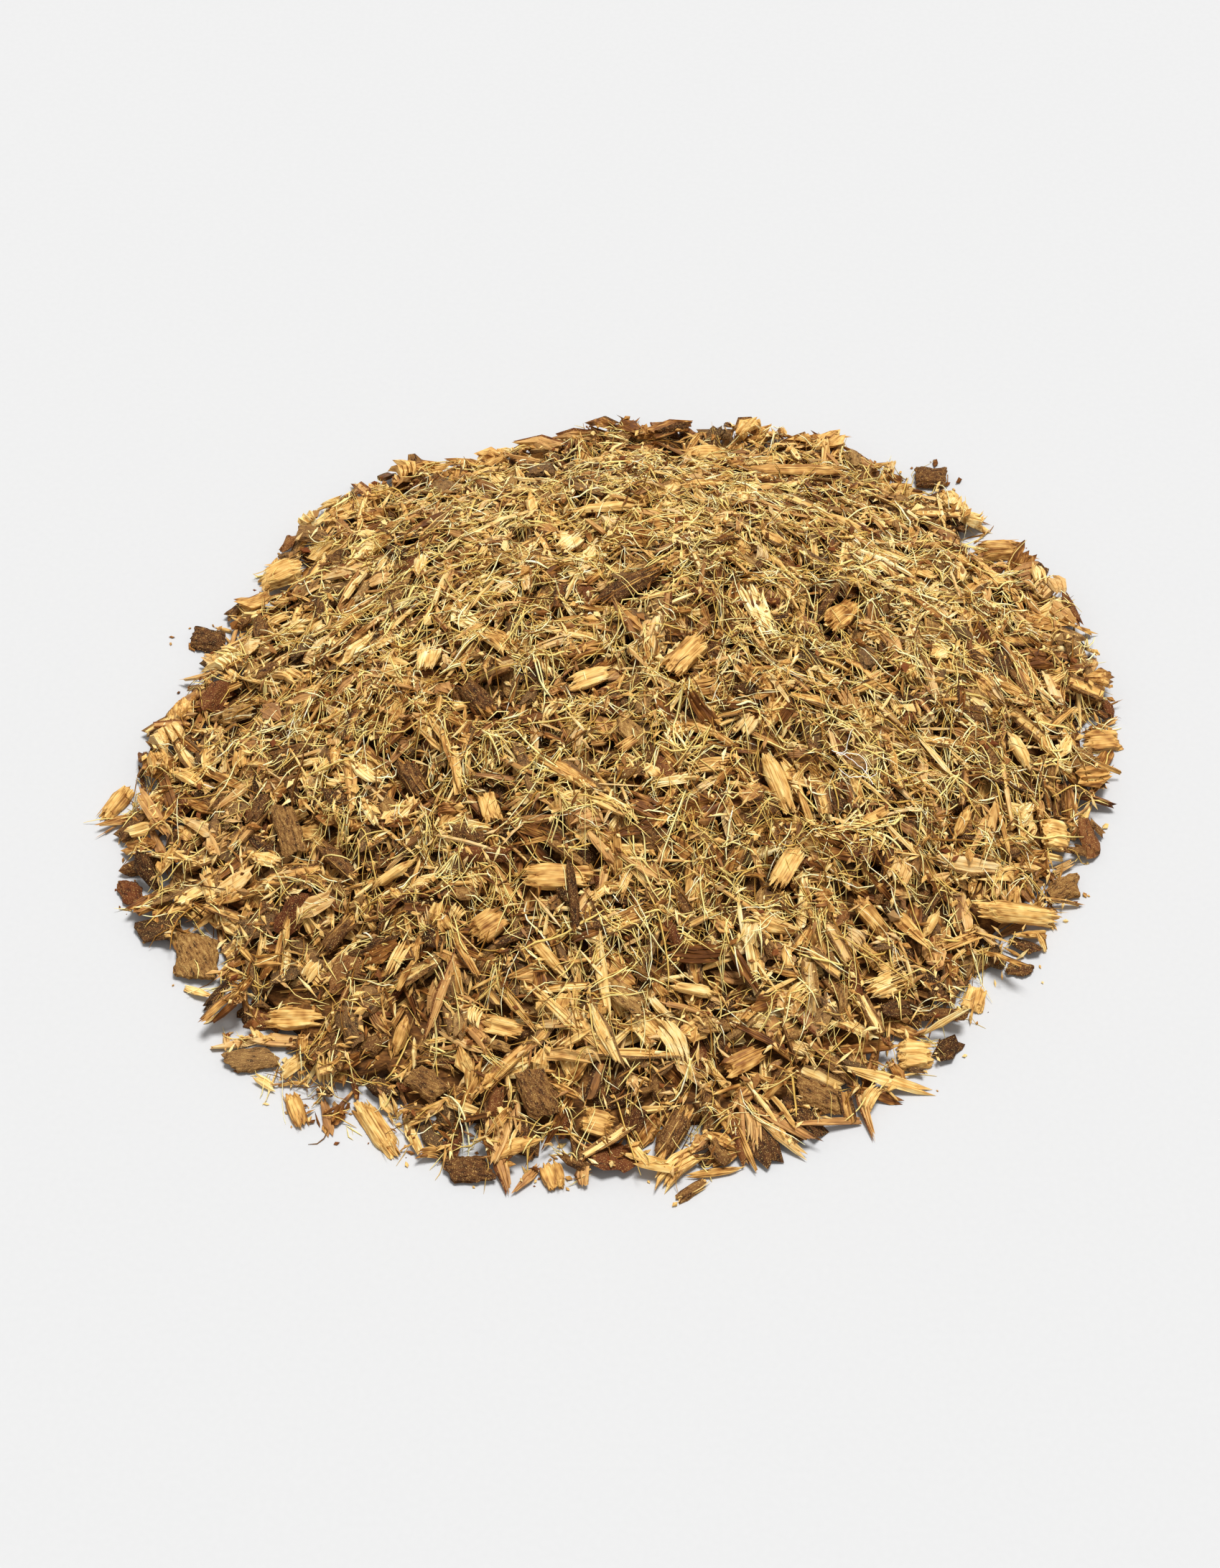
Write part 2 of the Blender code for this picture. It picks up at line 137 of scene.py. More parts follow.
class Net:
    """A node tree that is being built."""

    def __init__(self, tree, material=None):
        self.tree = tree
        self.material = material

    def add(self, kind, sockets=None, settings=None, out=0):
        """Adds a node, with its settings first, then a value or a link for each socket, by name or number."""
        node = self.tree.nodes.new(kind)
        for name, value in (settings or {}).items():
            setattr(node, name, value)
        for name, value in (sockets or {}).items():
            if isinstance(value, Value):
                self.tree.links.new(value.socket, node.inputs[name])
            else:
                node.inputs[name].default_value = value
        return Value(self, node.outputs[out]) if node.outputs else node

    def maths(self, operation, a, b):
        return self.add("ShaderNodeMath", {0: a, 1: b}, {"operation": operation})

    def vectors(self, operation, a, b):
        return self.add("ShaderNodeVectorMath", {0: a, 1: b}, {"operation": operation})

    def mix(self, share, a, b):
        """Colour a where share is 0 and b where it is 1."""
        kinds = {"data_type": "RGBA", "clamp_factor": True}
        return self.add("ShaderNodeMix", {0: share, 6: a, 7: b}, kinds, out=2)

    def noise(self, place, scale, detail=1.0, rough=0.5):
        """Noise on a scaled place. A smaller scale along one axis stretches the pattern that way."""
        place = self.vectors("MULTIPLY", place, scale)
        sockets = {"Vector": place, "Scale": 1.0, "Detail": detail, "Roughness": rough}
        return self.add("ShaderNodeTexNoise", sockets)

    def ramp(self, stops, factor):
        """The colours of the stops, each a place and a colour, for every value of the factor."""
        colour = self.add("ShaderNodeValToRGB", {"Fac": factor})
        elements = colour.socket.node.color_ramp.elements
        while len(elements) < len(stops):
            elements.new(0.5)
        for element, (place, tint) in zip(elements, stops):
            element.position = place
            element.color = tint
        return colour

    def rise(self, value, low, high):
        """0 below low and 1 above high, with a soft step. It falls instead where high is the lower."""
        span = {"interpolation_type": "SMOOTHSTEP"}
        return self.add("ShaderNodeMapRange", {"Value": value, "From Min": low, "From Max": high}, span)

    def note(self, name, out="Fac"):
        """An attribute that the mesh carries."""
        return self.add("ShaderNodeAttribute", None, {"attribute_name": name}, out)


def shade(red, green, blue):
    """A display colour, 0 to 255, as the linear colour that a shader takes."""
    return tuple(((c / 255 + 0.055) / 1.055) ** 2.4 for c in (red, green, blue)) + (1.0,)


DRY_GLOSS = 0.15


def new_finish(name):
    """The net of a new material."""
    material = bpy.data.materials.new(name)
    material.use_nodes = True
    return Net(material.node_tree, material)


def wear(net, colour, roughness, relief, depth, gloss=DRY_GLOSS):
    """Joins a colour, a roughness and a bump to the material's shader, and returns the material."""
    shader = net.tree.nodes["Principled BSDF"]
    bump = net.add("ShaderNodeBump", {"Height": relief, "Distance": depth, "Strength": 1.0})
    for name, value in (("Base Color", colour), ("Roughness", roughness), ("Normal", bump)):
        net.tree.links.new(value.socket, shader.inputs[name])
    shader.inputs["Specular IOR Level"].default_value = gloss
    return net.material


print("node helpers ready")

# %% [markdown]
# ## Split wood and bark
# Licorice wood is straw yellow and splits along its fibres. Its look comes from bundles of fibres a
# little under a millimetre wide, with dark lines between them: painted shade in the grooves. Bark is
# brown and wrinkled, with pale flecks, and dark in the bottoms of its furrows, partly its own dark pits
# and partly painted shade. Modelling every bundle would take millions of faces, so both are noise
# patterns, stretched along the grain by different amounts.
#
# Each shred carries four notes on its mesh. `grain` is a place inside the shred in millimetres, with X
# along the fibres. `tone` runs from brown to cream, `luck` is a different number for every shred, and
# `skin` is 1 where the outside of the root shows.

# %% Wood and bark finishes
WOOD_TONES = (
    (0.00, shade(92, 52, 19)),
    (0.20, shade(145, 93, 41)),
    (0.42, shade(202, 153, 82)),
    (0.62, shade(229, 188, 113)),
    (0.84, shade(241, 216, 152)),
    (1.00, shade(247, 235, 186)),
)
BARK_TONES = (
    (0.00, shade(54, 30, 12)),
    (0.30, shade(94, 58, 28)),
    (0.60, shade(133, 93, 48)),
    (0.85, shade(164, 125, 70)),
    (1.00, shade(192, 155, 95)),
)
RUDDY = shade(112, 56, 26)
GREY_BARK = shade(128, 99, 64)
BARK_FLECK = shade(212, 172, 102)
# Dark furrow bottoms of bark: partly its own pits, partly painted shade.
FURROW_SHADE_AND_PIT = shade(34, 20, 10)
# Painted shade for the grooves between bundles of wood fibres.
WOOD_SHADOW = shade(96, 54, 18)
OLD_WOOD = shade(186, 138, 88)


def shred_notes(net):
    return net.note("grain", "Vector"), net.note("tone"), net.note("luck")


def bark_colour(net, grain, tone, luck):
    """The colour and relief of bark: wrinkled and mottled, with pale flecks, furrow bottoms dark with its own
    pits and with painted shade, and ruddy or grey on some.
    """
    wrinkle = net.noise(grain, (0.55, 1.5, 1.5), 3.0, 0.7)
    fleck = net.noise(grain, (4.2, 5.2, 5.2))
    base = net.ramp(BARK_TONES, tone + 1.7 * (wrinkle - 0.5))
    base = net.mix(net.rise(luck, 0.84, 0.88) * 0.55, base, RUDDY)
    base = net.mix(net.rise(luck, 0.30, 0.26) * 0.35, base, GREY_BARK)
    # Darkest where the wrinkles are lowest: painted shade in the furrows, along with the bark's own dark
    # pits.
    base = net.mix(net.rise(wrinkle, 0.44, 0.34) * 0.7, base, FURROW_SHADE_AND_PIT)
    base = net.mix(net.rise(fleck, 0.60, 0.70) * 0.6, base, BARK_FLECK)
    return base, wrinkle + 0.5 * fleck


def wood_colour(net, grain, tone, luck):
    """The colour and relief of split wood, with painted shade in the grooves between its bundles and hairs.
    Some shreds are older and tan.
    """
    bundle = net.noise(grain, (0.06, 1.5, 1.5))
    hair = net.noise(grain, (0.13, 4.0, 4.0))
    stain = net.noise(grain, (0.42, 0.7, 0.7))
    streaky = tone + 0.42 * (bundle - 0.5) + 0.55 * (hair - 0.5) + 0.8 * (stain - 0.5)
    base = net.mix(net.rise(luck, 0.66, 0.80) * 0.5, net.ramp(WOOD_TONES, streaky), OLD_WOOD)
    # Painted shade: WOOD_SHADOW darkens the low lines of the bundles and hairs, where the grooves are.
    base = net.mix(net.rise(bundle, 0.42, 0.30) * 0.28, base, WOOD_SHADOW)
    base = net.mix(net.rise(hair, 0.42, 0.30) * 0.42, base, WOOD_SHADOW)
    return base, bundle + 0.5 * hair


def root_finish(name, gloss):
    """Split wood where the root was cut, and bark where its skin shows."""
    net = new_finish(name)
    grain, tone, luck = shred_notes(net)
    wood, wood_relief = wood_colour(net, grain, tone, luck)
    bark, bark_relief = bark_colour(net, grain, tone * 0.8, luck)
    barked = net.rise(net.note("skin") + 0.7 * (wood_relief - 0.75), 0.42, 0.58)
    relief = wood_relief + 0.5 * bark_relief
    return wear(net, net.mix(barked, wood, bark), gloss + 0.25 * barked, relief, 0.12 * MM)


def wood_finish(name, gloss):
    """Split wood with no bark on it."""
    net = new_finish(name)
    wood, relief = wood_colour(net, *shred_notes(net))
    return wear(net, wood, gloss + 0.1 * relief, relief, 0.14 * MM)


def bark_finish(name):
    """A flake of bark all over."""
    net = new_finish(name)
    bark, relief = bark_colour(net, *shred_notes(net))
    return wear(net, bark, 0.75 + 0.2 * (relief - 0.8), relief, 0.3 * MM)


FINISHES = {
    "pale_wood": wood_finish("pale split wood", 0.5),
    "yellow_wood": wood_finish("yellow splinter", 0.42),
    "cream_fibre": wood_finish("cream pith fibre", 0.6),
    "barked_wood": root_finish("split wood with its bark", 0.55),
    "dark_bark": bark_finish("root bark"),
}
print("finishes:", ", ".join(FINISHES))

# %% [markdown]
# ## Fibres, crumbs and the bed
# Fibres are too thin for a grain, so their colour changes from one fibre to the next and a little along
# its length. Crumbs are bits of everything. The bed is the imported shreds deep in the heap, seen in the
# gaps as a dark brown tangle: its dark brown is painted shade, for shreds that lie in shadow deep down.
# Each could have patterns of its own, but at this size one noise for colour, roughness and relief
# together looks the same.

# %% Finishes of the small stuff
FIBRE_TONES = (
    (0.00, shade(84, 48, 18)),
    (0.25, shade(166, 115, 46)),
    (0.50, shade(221, 182, 93)),
    (0.80, shade(243, 221, 140)),
    (0.92, shade(249, 239, 182)),
    (1.00, shade(252, 248, 240)),
)
# The bed's dark browns are painted shade: pale shreds deep in the heap, coloured as they look in shadow.
BED_SHADE_TONES = (0.30, shade(52, 30, 12)), (0.55, shade(104, 66, 30)), (0.75, shade(150, 106, 54))


def fine_finish(name, hue, scale, roughness, depth, detail=0.0, rough=0.5, gloss=DRY_GLOSS):
    """A finish that follows one noise on the object's own coordinates. hue gives its colour."""
    net = new_finish(name)
    pattern = net.noise(net.add("ShaderNodeTexCoord", out="Object"), scale, detail, rough)
    return wear(net, hue(net, pattern), roughness[0] + roughness[1] * pattern, pattern, depth, gloss)


def fibre_hue(net, patch):
    return net.ramp(FIBRE_TONES, net.note("tone") + 0.15 * (patch - 0.5))


def crumb_hue(net, speck):
    wood = net.ramp(WOOD_TONES, net.note("tone") + 0.5 * (speck - 0.5))
    return net.mix(net.rise(net.note("luck"), 0.70, 0.74) * 0.7, wood, RUDDY)


# Painted shade: the bed is coloured as dark as the deep gaps look.
def bed_shade_hue(net, tangle):
    return net.ramp(BED_SHADE_TONES, tangle)


FINISHES["fibre"] = fine_finish("bast fibre", fibre_hue, (700, 700, 700), (0.4, 0.2), 0.02 * MM)
FINISHES["crumb"] = fine_finish("root crumb", crumb_hue, (2600, 2600, 2600), (0.7, 0.2), 0.05 * MM, 1.0)
FINISHES["shreds"] = fine_finish("bed of shreds in painted shade", bed_shade_hue, (420, 900, 900), (0.8, 0.1), 0.6 * MM, 2.0, 0.65)
print("materials made:", len(bpy.data.materials))

# %% [markdown]
# ## The heights that shreds land on
# Real shreds fall one after another, and each comes to rest on what lies there already. A physics
# simulation of fifteen thousand pieces would take hours. A grid of heights, seen from above, copies what
# matters: a shred looks up the heights under it, lies down on the highest of them, and raises the grid.
# The solid heap gives the level that the layers have to reach.

# %% Height grid
CELL = 0.5 * MM
HALF_GRID = 116 * MM
AXIS = np.arange(-HALF_GRID, HALF_GRID + CELL / 2, CELL)
LEVEL_BLUR = 2.2 * MM
EDGE_BLUR = 3 * MM


def tree_of(mesh):
    return BVHTree.FromPolygons([v.co for v in mesh.vertices], [p.vertices for p in mesh.polygons])


def height_from_above(tree, x, y):
    """How high a mesh is at a place, or nothing where it isn't there."""
    hit = tree.ray_cast(Vector((x, y, 1.0)), Vector((0, 0, -1)))[0]
    return hit.z if hit else None


def blurred(grid, radius):
    """The grid smoothed by a round brush of that radius."""
    step = np.fft.fftfreq(len(AXIS), CELL)
    keep = np.exp(-2 * (math.pi * radius) ** 2 * (step[:, None] ** 2 + step[None, :] ** 2))
    return np.fft.ifft2(np.fft.fft2(grid) * keep).real


def cell(place):
    """The number of the cell at a place, which may be an array."""
    return np.clip(np.rint((place + HALF_GRID) / CELL).astype(int), 0, len(AXIS) - 1)


def cells_between(low, high):
    return slice(cell(low), cell(high) + 1)


def at(grid, x, y):
    """The grid's values at places, which may be arrays."""
    return grid[cell(y), cell(x)]


def heights_between(tree, low, high):
    """The patch of the grid between two corners, and a mesh's heights on it."""
    patch = cells_between(low.y, high.y), cells_between(low.x, high.x)
    found = [[height_from_above(tree, x, y) or 0.0 for x in AXIS[patch[1]]] for y in AXIS[patch[0]]]
    return patch, np.array(found)


heap_tree = tree_of(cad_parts["shred_heap"].data)
heap_low, heap_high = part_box("shred_heap")
heap_middle = (heap_low + heap_high) / 2
level = np.zeros((len(AXIS), len(AXIS)))
patch, found = heights_between(heap_tree, heap_low, heap_high)
level[patch] = found
print("grid:", level.shape, "highest level in mm:", round(level.max() / MM, 1))

# %% [markdown]
# ## The edge of the level
# Loose chips don't stop where the solid does: they roll past it or fall short of it. Moving the solid's
# own edge would take a new solid, so only the level's edge moves, by a few millimetres in a few
# directions, as in the photograph.

# %% Move the edge
EDGE_SHIFTS = (  # azimuth and width in degrees, and how far the edge moves out in millimetres
    (104, 13, -5.0),
    (54, 9, -4.0),
    (231, 10, 4.5),
    (303, 12, 2.0),
    (25, 8, 2.0),
    (205, 8, 2.0),
)
EDGE_FROM = 70 * MM
EDGE_TO = 90 * MM


def edge_moved(grid):
    """The grid with its edge moved in and out."""
    x, y = np.meshgrid(AXIS - heap_middle.x, AXIS - heap_middle.y)
    shift = np.zeros_like(grid)
    for azimuth, width, amount in EDGE_SHIFTS:
        away = np.angle((x + 1j * y) * np.exp(-1j * math.radians(azimuth)), deg=True)
        shift += amount * MM * np.exp(-(away / width) ** 2)
    radius = np.maximum(np.hypot(x, y), CELL)
    share = 1 - shift * np.clip((radius - EDGE_FROM) / (EDGE_TO - EDGE_FROM), 0, 1) / radius
    return at(grid, heap_middle.x + x * share, heap_middle.y + y * share)


level = edge_moved(level)
inside = blurred(level > 0, EDGE_BLUR)
level = np.maximum(blurred(level, LEVEL_BLUR), 0)
print("highest level after smoothing, in mm:", round(level.max() / MM, 1))

# %% [markdown]
# ## The bed
# Deep in a real heap the shreds are packed and only glimpsed. Filling the whole heap with shreds would
# cost faces that nobody sees, so the bed is one closed mesh a few millimetres under the level: rings of
# points round the heap's middle, lumpy on top and flat below. It stops short of the rim, so that the rim
# is shreds alone.

# %% Bed
BED_RINGS = 50
BED_SPOKES = 160
BED_REACH = 0.94
BED_DEPTH = 4.2 * MM
BED_LUMP = 0.9 * MM
THINNEST_BED = 0.3 * MM


def rim_distance(angle):
    """How far the solid heap reaches from its middle in that direction."""
    out = Vector((math.cos(angle), math.sin(angle), 0))
    start = Vector((heap_middle.x, heap_middle.y, 0.6 * MM)) + out * HALF_GRID * 2
    return 2 * HALF_GRID - heap_tree.ray_cast(start, -out)[3]


def bed_spot(share, spoke):
    """A point of the bed's top, some share of the way out. The bed is deeper in the middle, with two sizes of
    lump."""
    angle = math.tau * spoke / BED_SPOKES
    reach = rims[spoke] * BED_REACH * share
    x, y = heap_middle.x + reach * math.cos(angle), heap_middle.y + reach * math.sin(angle)
    deep = BED_DEPTH * min(1.0, 0.35 + 3 * (1 - share))
    lumps = noise.noise(Vector((x, y, 0)) / (3.5 * MM)) + 0.6 * noise.noise(Vector((x, y, 1)) / (1.6 * MM))
    return x, y, max(THINNEST_BED, at(level, x, y) - deep + BED_LUMP * lumps)


def make_bed():
    points = [bed_spot(0, 0)]
    for ring in range(1, BED_RINGS + 1):
        points += [bed_spot(ring / BED_RINGS, spoke) for spoke in range(BED_SPOKES)]
    points += [(x, y, 0) for x, y, z in points[-BED_SPOKES:]] + [(heap_middle.x, heap_middle.y, 0)]
    under, lowest, faces = len(points) - 1, len(points) - 1 - BED_SPOKES, []
    for s in range(BED_SPOKES):
        t = (s + 1) % BED_SPOKES
        faces += [(0, 1 + s, 1 + t), (under, lowest + t, lowest + s)]
        for near in range(1, lowest, BED_SPOKES):
            far = near + BED_SPOKES
            faces.append((near + s, far + s, far + t, near + t))
    mesh = bpy.data.meshes.new("packed_shreds")
    mesh.from_pydata(points, [], faces)
    mesh.shade_smooth()
    mesh.materials.append(FINISHES["shreds"])
    return mesh


rims = [rim_distance(math.tau * s / BED_SPOKES) for s in range(BED_SPOKES)]
bed_mesh = make_bed()
ground = np.zeros_like(level)
patch, found = heights_between(tree_of(bed_mesh), heap_low, heap_high)
ground[patch] = found
print("bed faces:", len(bed_mesh.polygons), "rim in mm:", round(min(rims) / MM), "to", round(max(rims) / MM))

# %% [markdown]
# ## Shapes of the shreds
# Dry licorice wood doesn't break cleanly. A torn chip is a bundle of strands side by side, and each
# strand ends at its own length, which gives the comb-like ends. Cleanly cut chips, bark plates and
# half-round sticks are one section swept along the grain. Every shred could have a shape of its own, but
# six to sixteen of each kind, stretched and turned, are enough for thousands.
#
# Every shape is made of tubes through rings of points, with a point that closes each end. A tube is
# unwrapped as a rectangle: along it one way and round it the other. All shapes have one size and are
# stretched when they are used.

# %% Shape helpers
SHAPE_LENGTH, SHAPE_WIDTH, SHAPE_THICK = 8 * MM, 3 * MM, 1.3 * MM
MAP_NAME = "OFBake"
MAP_TIP = 0.08
NO_SKIN = 0.0
SKIN = 1.0


def write_note(mesh, name, kind, values):
    """Notes a value on every point of a mesh."""
    field = "vector" if kind == "FLOAT_VECTOR" else "value"
    mesh.attributes.new(name, kind, "POINT").data.foreach_set(field, np.ascontiguousarray(values).ravel())


class Form:
    """Points, faces, map corners and skin that grow as tubes are added."""

    def __init__(self):
        self.points, self.faces, self.corners, self.skin = [], [], [], []

    def tube(self, rings, tips, skins, band=(0.0, 1.0)):
        """A closed tube. tips are its two end points and band is its strip of the map."""
        first, count, turns = len(self.points), len(rings[0]), len(rings)
        last, tip = first + (turns - 1) * count, first + turns * count
        self.points += [p for ring in rings for p in ring] + list(tips)
        self.skin += list(skins) * turns + [NO_SKIN] * 2
        for k in range(count):
            n = (k + 1) % count
            low, high = (band[0] + (band[1] - band[0]) * j / count for j in (k, k + 1))
            for r in range(turns - 1):
                a, b = first + r * count, first + (r + 1) * count
                u, w = (MAP_TIP + (1 - 2 * MAP_TIP) * j / (turns - 1) for j in (r, r + 1))
                self.faces.append((a + k, a + n, b + n, b + k))
                self.corners += [(u, low), (u, high), (w, high), (w, low)]
            self.faces += [(first + n, first + k, tip), (last + k, last + n, tip + 1)]
            self.corners += [(MAP_TIP, high), (MAP_TIP, low), (0.0, (low + high) / 2)]
            self.corners += [(1 - MAP_TIP, low), (1 - MAP_TIP, high), (1.0, (low + high) / 2)]

    def to_object(self, name):
        """An object that carries the form, with its grain and skin noted on its points."""
        mesh = bpy.data.meshes.new(name)
        mesh.from_pydata(self.points, [], self.faces)
        mesh.uv_layers.new(name=MAP_NAME).data.foreach_set("uv", np.array(self.corners).ravel())
        write_note(mesh, "grain", "FLOAT_VECTOR", np.array(self.points) / MM)
        write_note(mesh, "skin", "FLOAT", self.skin)
        return bpy.data.objects.new(name, mesh)


def sized(x, y, z):
    """A place in shares of a shape's length, width and thickness."""
    return x * SHAPE_LENGTH, y * SHAPE_WIDTH, z * SHAPE_THICK


def uneven(stops, drift):
    """Stations for a sweep, from stops: a place and the range of its scale. drift moves them sideways."""
    return [(place, rng.uniform(low, high), rng.normal(0, drift)) for place, low, high in stops]


def swept(section, skins, stations, jags, bow, twist=0.0):
    """Sweeps a section along the grain through stations, each a place, a scale and a sideways shift. The
    two end stations break off unevenly, each point by a random share between its two jags."""
    rings = []
    for k, (place, scale, shift) in enumerate(stations):
        end = {0: -1, len(stations) - 1: 1}.get(k, 0)
        lift = bow * (1 - (2 * place) ** 2)
        ring = []
        for (y, z), jag in zip(section, jags):
            x = place + end * rng.uniform(*jag)
            high = z * (0.6 + 0.4 * scale) + lift + twist * place * y
            ring.append(sized(x, y * scale * rng.uniform(0.92, 1.08) + shift, high))
        rings.append(ring)
    form = Form()
    form.tube(rings, [tuple(np.mean(ring, axis=0)) for ring in (rings[0], rings[-1])], skins)
    return form


print("shapes are", SHAPE_LENGTH / MM, "x", SHAPE_WIDTH / MM, "x", SHAPE_THICK / MM, "mm before stretching")

# %% Shapes of the large kinds
def torn_shape(strands, barked):
    """A torn chip: strands side by side, each with its own ends, fanned out and narrower at one end."""
    form = Form()
    narrow, bend = (rng.uniform(0.45, 1.1), rng.uniform(0.7, 1.15)), rng.normal(0, 0.14)
    bow = rng.uniform(-0.3, 0.7)
    for k in range(strands):
        y = (k + 0.5) / strands - 0.5
        wide, tall = 0.74 / strands, rng.uniform(0.84, 1.06)
        start, end = -0.5 + rng.uniform(0, 0.22), 0.5 - rng.uniform(0, 0.22)
        fans = rng.normal(0, 0.07) + 0.22 * y, rng.normal(0, 0.07) + 0.22 * y
        lifts = rng.normal(0.04, 0.16), rng.normal(0.04, 0.16)
        rings = []
        for share, scale in ((0.18, 0.72), (0.5, 1.0), (0.82, 0.72)):
            side = 0 if share < 0.5 else 1
            splay = abs(2 * share - 1) ** 2
            x, lift = start + share * (end - start), (1.6 * lifts[side] - bow) * splay + bow
            slim = 1 + (narrow[side] - 1) * splay
            middle = (y + fans[side] * splay) * slim + bend * (1 - splay)
            corners = ((-1, 0.05), (1, 0.05), (0.62, tall), (-0.62, tall))
            rings.append([sized(x, middle + a * wide * scale * slim, b * scale + lift) for a, b in corners])
        tips = []
        for side, x in enumerate((start, end)):
            tip_lift = 0.5 * tall + 2.2 * lifts[side] - 0.6 * bow
            tips.append(sized(x, (y + 1.5 * fans[side]) * narrow[side], tip_lift))
        skins = [SKIN if barked and k == 0 else NO_SKIN] * 4
        form.tube(rings, tips, skins, (k / strands, (k + 0.96) / strands))
    return form


def cut_shape(strands, barked):
    """A cleaner chip: one section with a ridge for each strand. barked puts skin on one long side."""
    section, jags, skins = [(-0.46, 0.1), (0.46, 0.1)], [(-0.07, 0.03)] * 2, [NO_SKIN] * 2
    for k in range(2 * strands, -1, -1):
        ridge = k % 2
        y = k / (2 * strands) - 0.5 + rng.uniform(-0.04, 0.04)
        section.append((y, rng.uniform(0.82, 1.05) if ridge else rng.uniform(0.5, 0.8)))
        jags.append((-0.04, 0.20) if ridge else (-0.22, 0.0))
        skins.append(SKIN if barked and k > 2 * strands - 2 else NO_SKIN)
    middle = rng.uniform(-0.1, 0.1)
    stations = uneven(((-0.42, 0.35, 0.95), (middle, 0.95, 1.1), (0.42, 0.20, 0.90)), 0.10)
    return swept(section, skins, stations, jags, rng.uniform(-0.5, 0.9), rng.normal(0, 2.0))


def stick_shape(bark_up):
    """Half a round root. bark_up shows its skin, and otherwise its split face lies on top."""
    section = []
    for k in range(6):
        turn = math.pi * k / 5
        y, z = -0.5 * math.cos(turn), math.sin(turn) * rng.uniform(0.86, 1.0)
        section.append((y, z if bark_up else 1 - z))
    if bark_up:
        section.reverse()
    section.append((0.0, 0.0 if bark_up else 0.86))
    ends = rng.uniform(0.7, 0.95), rng.normal(0, 0.06), rng.uniform(0.6, 0.9)
    stations = (-0.46, ends[0], 0), (-0.1, 1.0, ends[1]), (0.46, ends[2], 0)
    return swept(section, [SKIN] * 6 + [NO_SKIN], stations, [(-0.09, 0.09)] * 7, rng.uniform(-0.1, 0.2))


def bark_shape():
    """A plate of bark, arched as the root was round, with its ends broken across and its sides uneven."""
    section = [(-0.5, 0.15), (0.0, 0.0), (0.5, 0.15), (0.42, 0.8), (0.15, 1.0), (-0.15, 0.95), (-0.44, 0.75)]
    arch = rng.uniform(-0.3, 0.5)
    section = [(y, z * rng.uniform(0.85, 1.15) + arch * (1 - 4 * y * y)) for y, z in section]
    stations = uneven(((-0.42, 0.55, 1.0), (-0.14, 0.9, 1.1), (0.14, 0.8, 1.1), (0.42, 0.5, 1.0)), 0.08)
    return swept(section, [SKIN] * 7, stations, [(-0.2, 0.12)] * 7, 0.0, rng.normal(0, 1.0))


print("large kinds: torn chips, cut chips, half-round sticks and bark plates")

# %% Shapes of the small kinds
def four_sided(rings, tips):
    """A small wooden tube of four-sided rings."""
    form = Form()
    form.tube(rings, tips, [NO_SKIN] * 4)
    return form


def splinter_shape():
    """A thin piece that runs out to a point at both ends."""
    corners = ((-0.5, 0.05), (0.5, 0.0), (0.35, 0.9), (-0.3, 1.0))
    bow, rings = rng.uniform(-0.9, 1.3), []
    for place, scale in ((-0.38, rng.uniform(0.5, 0.95)), (-0.05, 1.0), (0.34, rng.uniform(0.4, 0.9))):
        rings.append([sized(place, y * scale, z * scale + bow * (1 - 4 * place * place)) for y, z in corners])
    return four_sided(rings, (sized(-0.5, 0, 0.3), sized(0.5, rng.uniform(-0.3, 0.3), 0.3)))


def crumb_shape():
    """A rough grain: one ring and a point at each end."""
    ring = []
    for y, z in ((-0.5, 0.1), (0.45, 0.0), (0.4, 0.9), (-0.45, 1.0)):
        ring.append(sized(rng.uniform(-0.15, 0.15), y * rng.uniform(0.7, 1.1), z * rng.uniform(0.8, 1.1)))
    return four_sided([ring], (sized(-0.5, 0.1, 0.4), sized(0.5, -0.1, 0.5)))


def sliver_shape():
    """A sliver: one uneven ring nearer to one end, and a long point at both ends."""
    x, lift, ring = rng.uniform(-0.25, 0.25), rng.uniform(0.0, 0.5), []
    for y, z in ((-0.5, 0.1), (0.5, 0.0), (0.4, 0.8), (-0.4, 1.0)):
        ring.append(sized(x + rng.uniform(-0.1, 0.1), y, z + lift))
    return four_sided([ring], (sized(-0.5, rng.normal(0, 0.3), 0.3), sized(0.5, rng.normal(0, 0.3), 0.3)))


rng = np.random.default_rng(3)
SHAPES = {
    "torn": [torn_shape(3 + k % 4, k % 5 == 4) for k in range(16)],
    "cut": [cut_shape(2 + k % 2, k % 4 == 3) for k in range(12)],
    "stick": [stick_shape(k % 2 == 0) for k in range(10)],
    "splinter": [splinter_shape() for _ in range(10)],
    "bark": [bark_shape() for _ in range(12)],
    "crumb": [crumb_shape() for _ in range(6)],
    "sliver": [sliver_shape() for _ in range(10)],
}
LIBRARIES = {kind: bpy.data.collections.new(kind) for kind in SHAPES}
for kind, forms in SHAPES.items():
    for k, form in enumerate(forms):
        LIBRARIES[kind].objects.link(form.to_object(f"{kind}_{k:02d}"))
    print(kind, "shapes:", len(forms), "with", max(len(form.faces) for form in forms), "faces at most")

# %% [markdown]
# ## Room for the large pieces
# The large pieces lie where the solids are. Shreds could be dropped first and cut away again, but it is
# simpler to make room. The tops of the large pieces go into the height grid, so that fibres can lie
# across them, and a ceiling a little above their undersides holds down the shreds below. No later shred
# may cover more than a corner of them or stand much higher beside them.
#
# Round the rim the level rises a little above the floor, for a skirt of loose shreds, which also closes
# the gaps between the heap and the pieces that lie just outside it. Shreds may stand prouder along the
# far rim, where the photograph shows a lumpy edge of large chips.

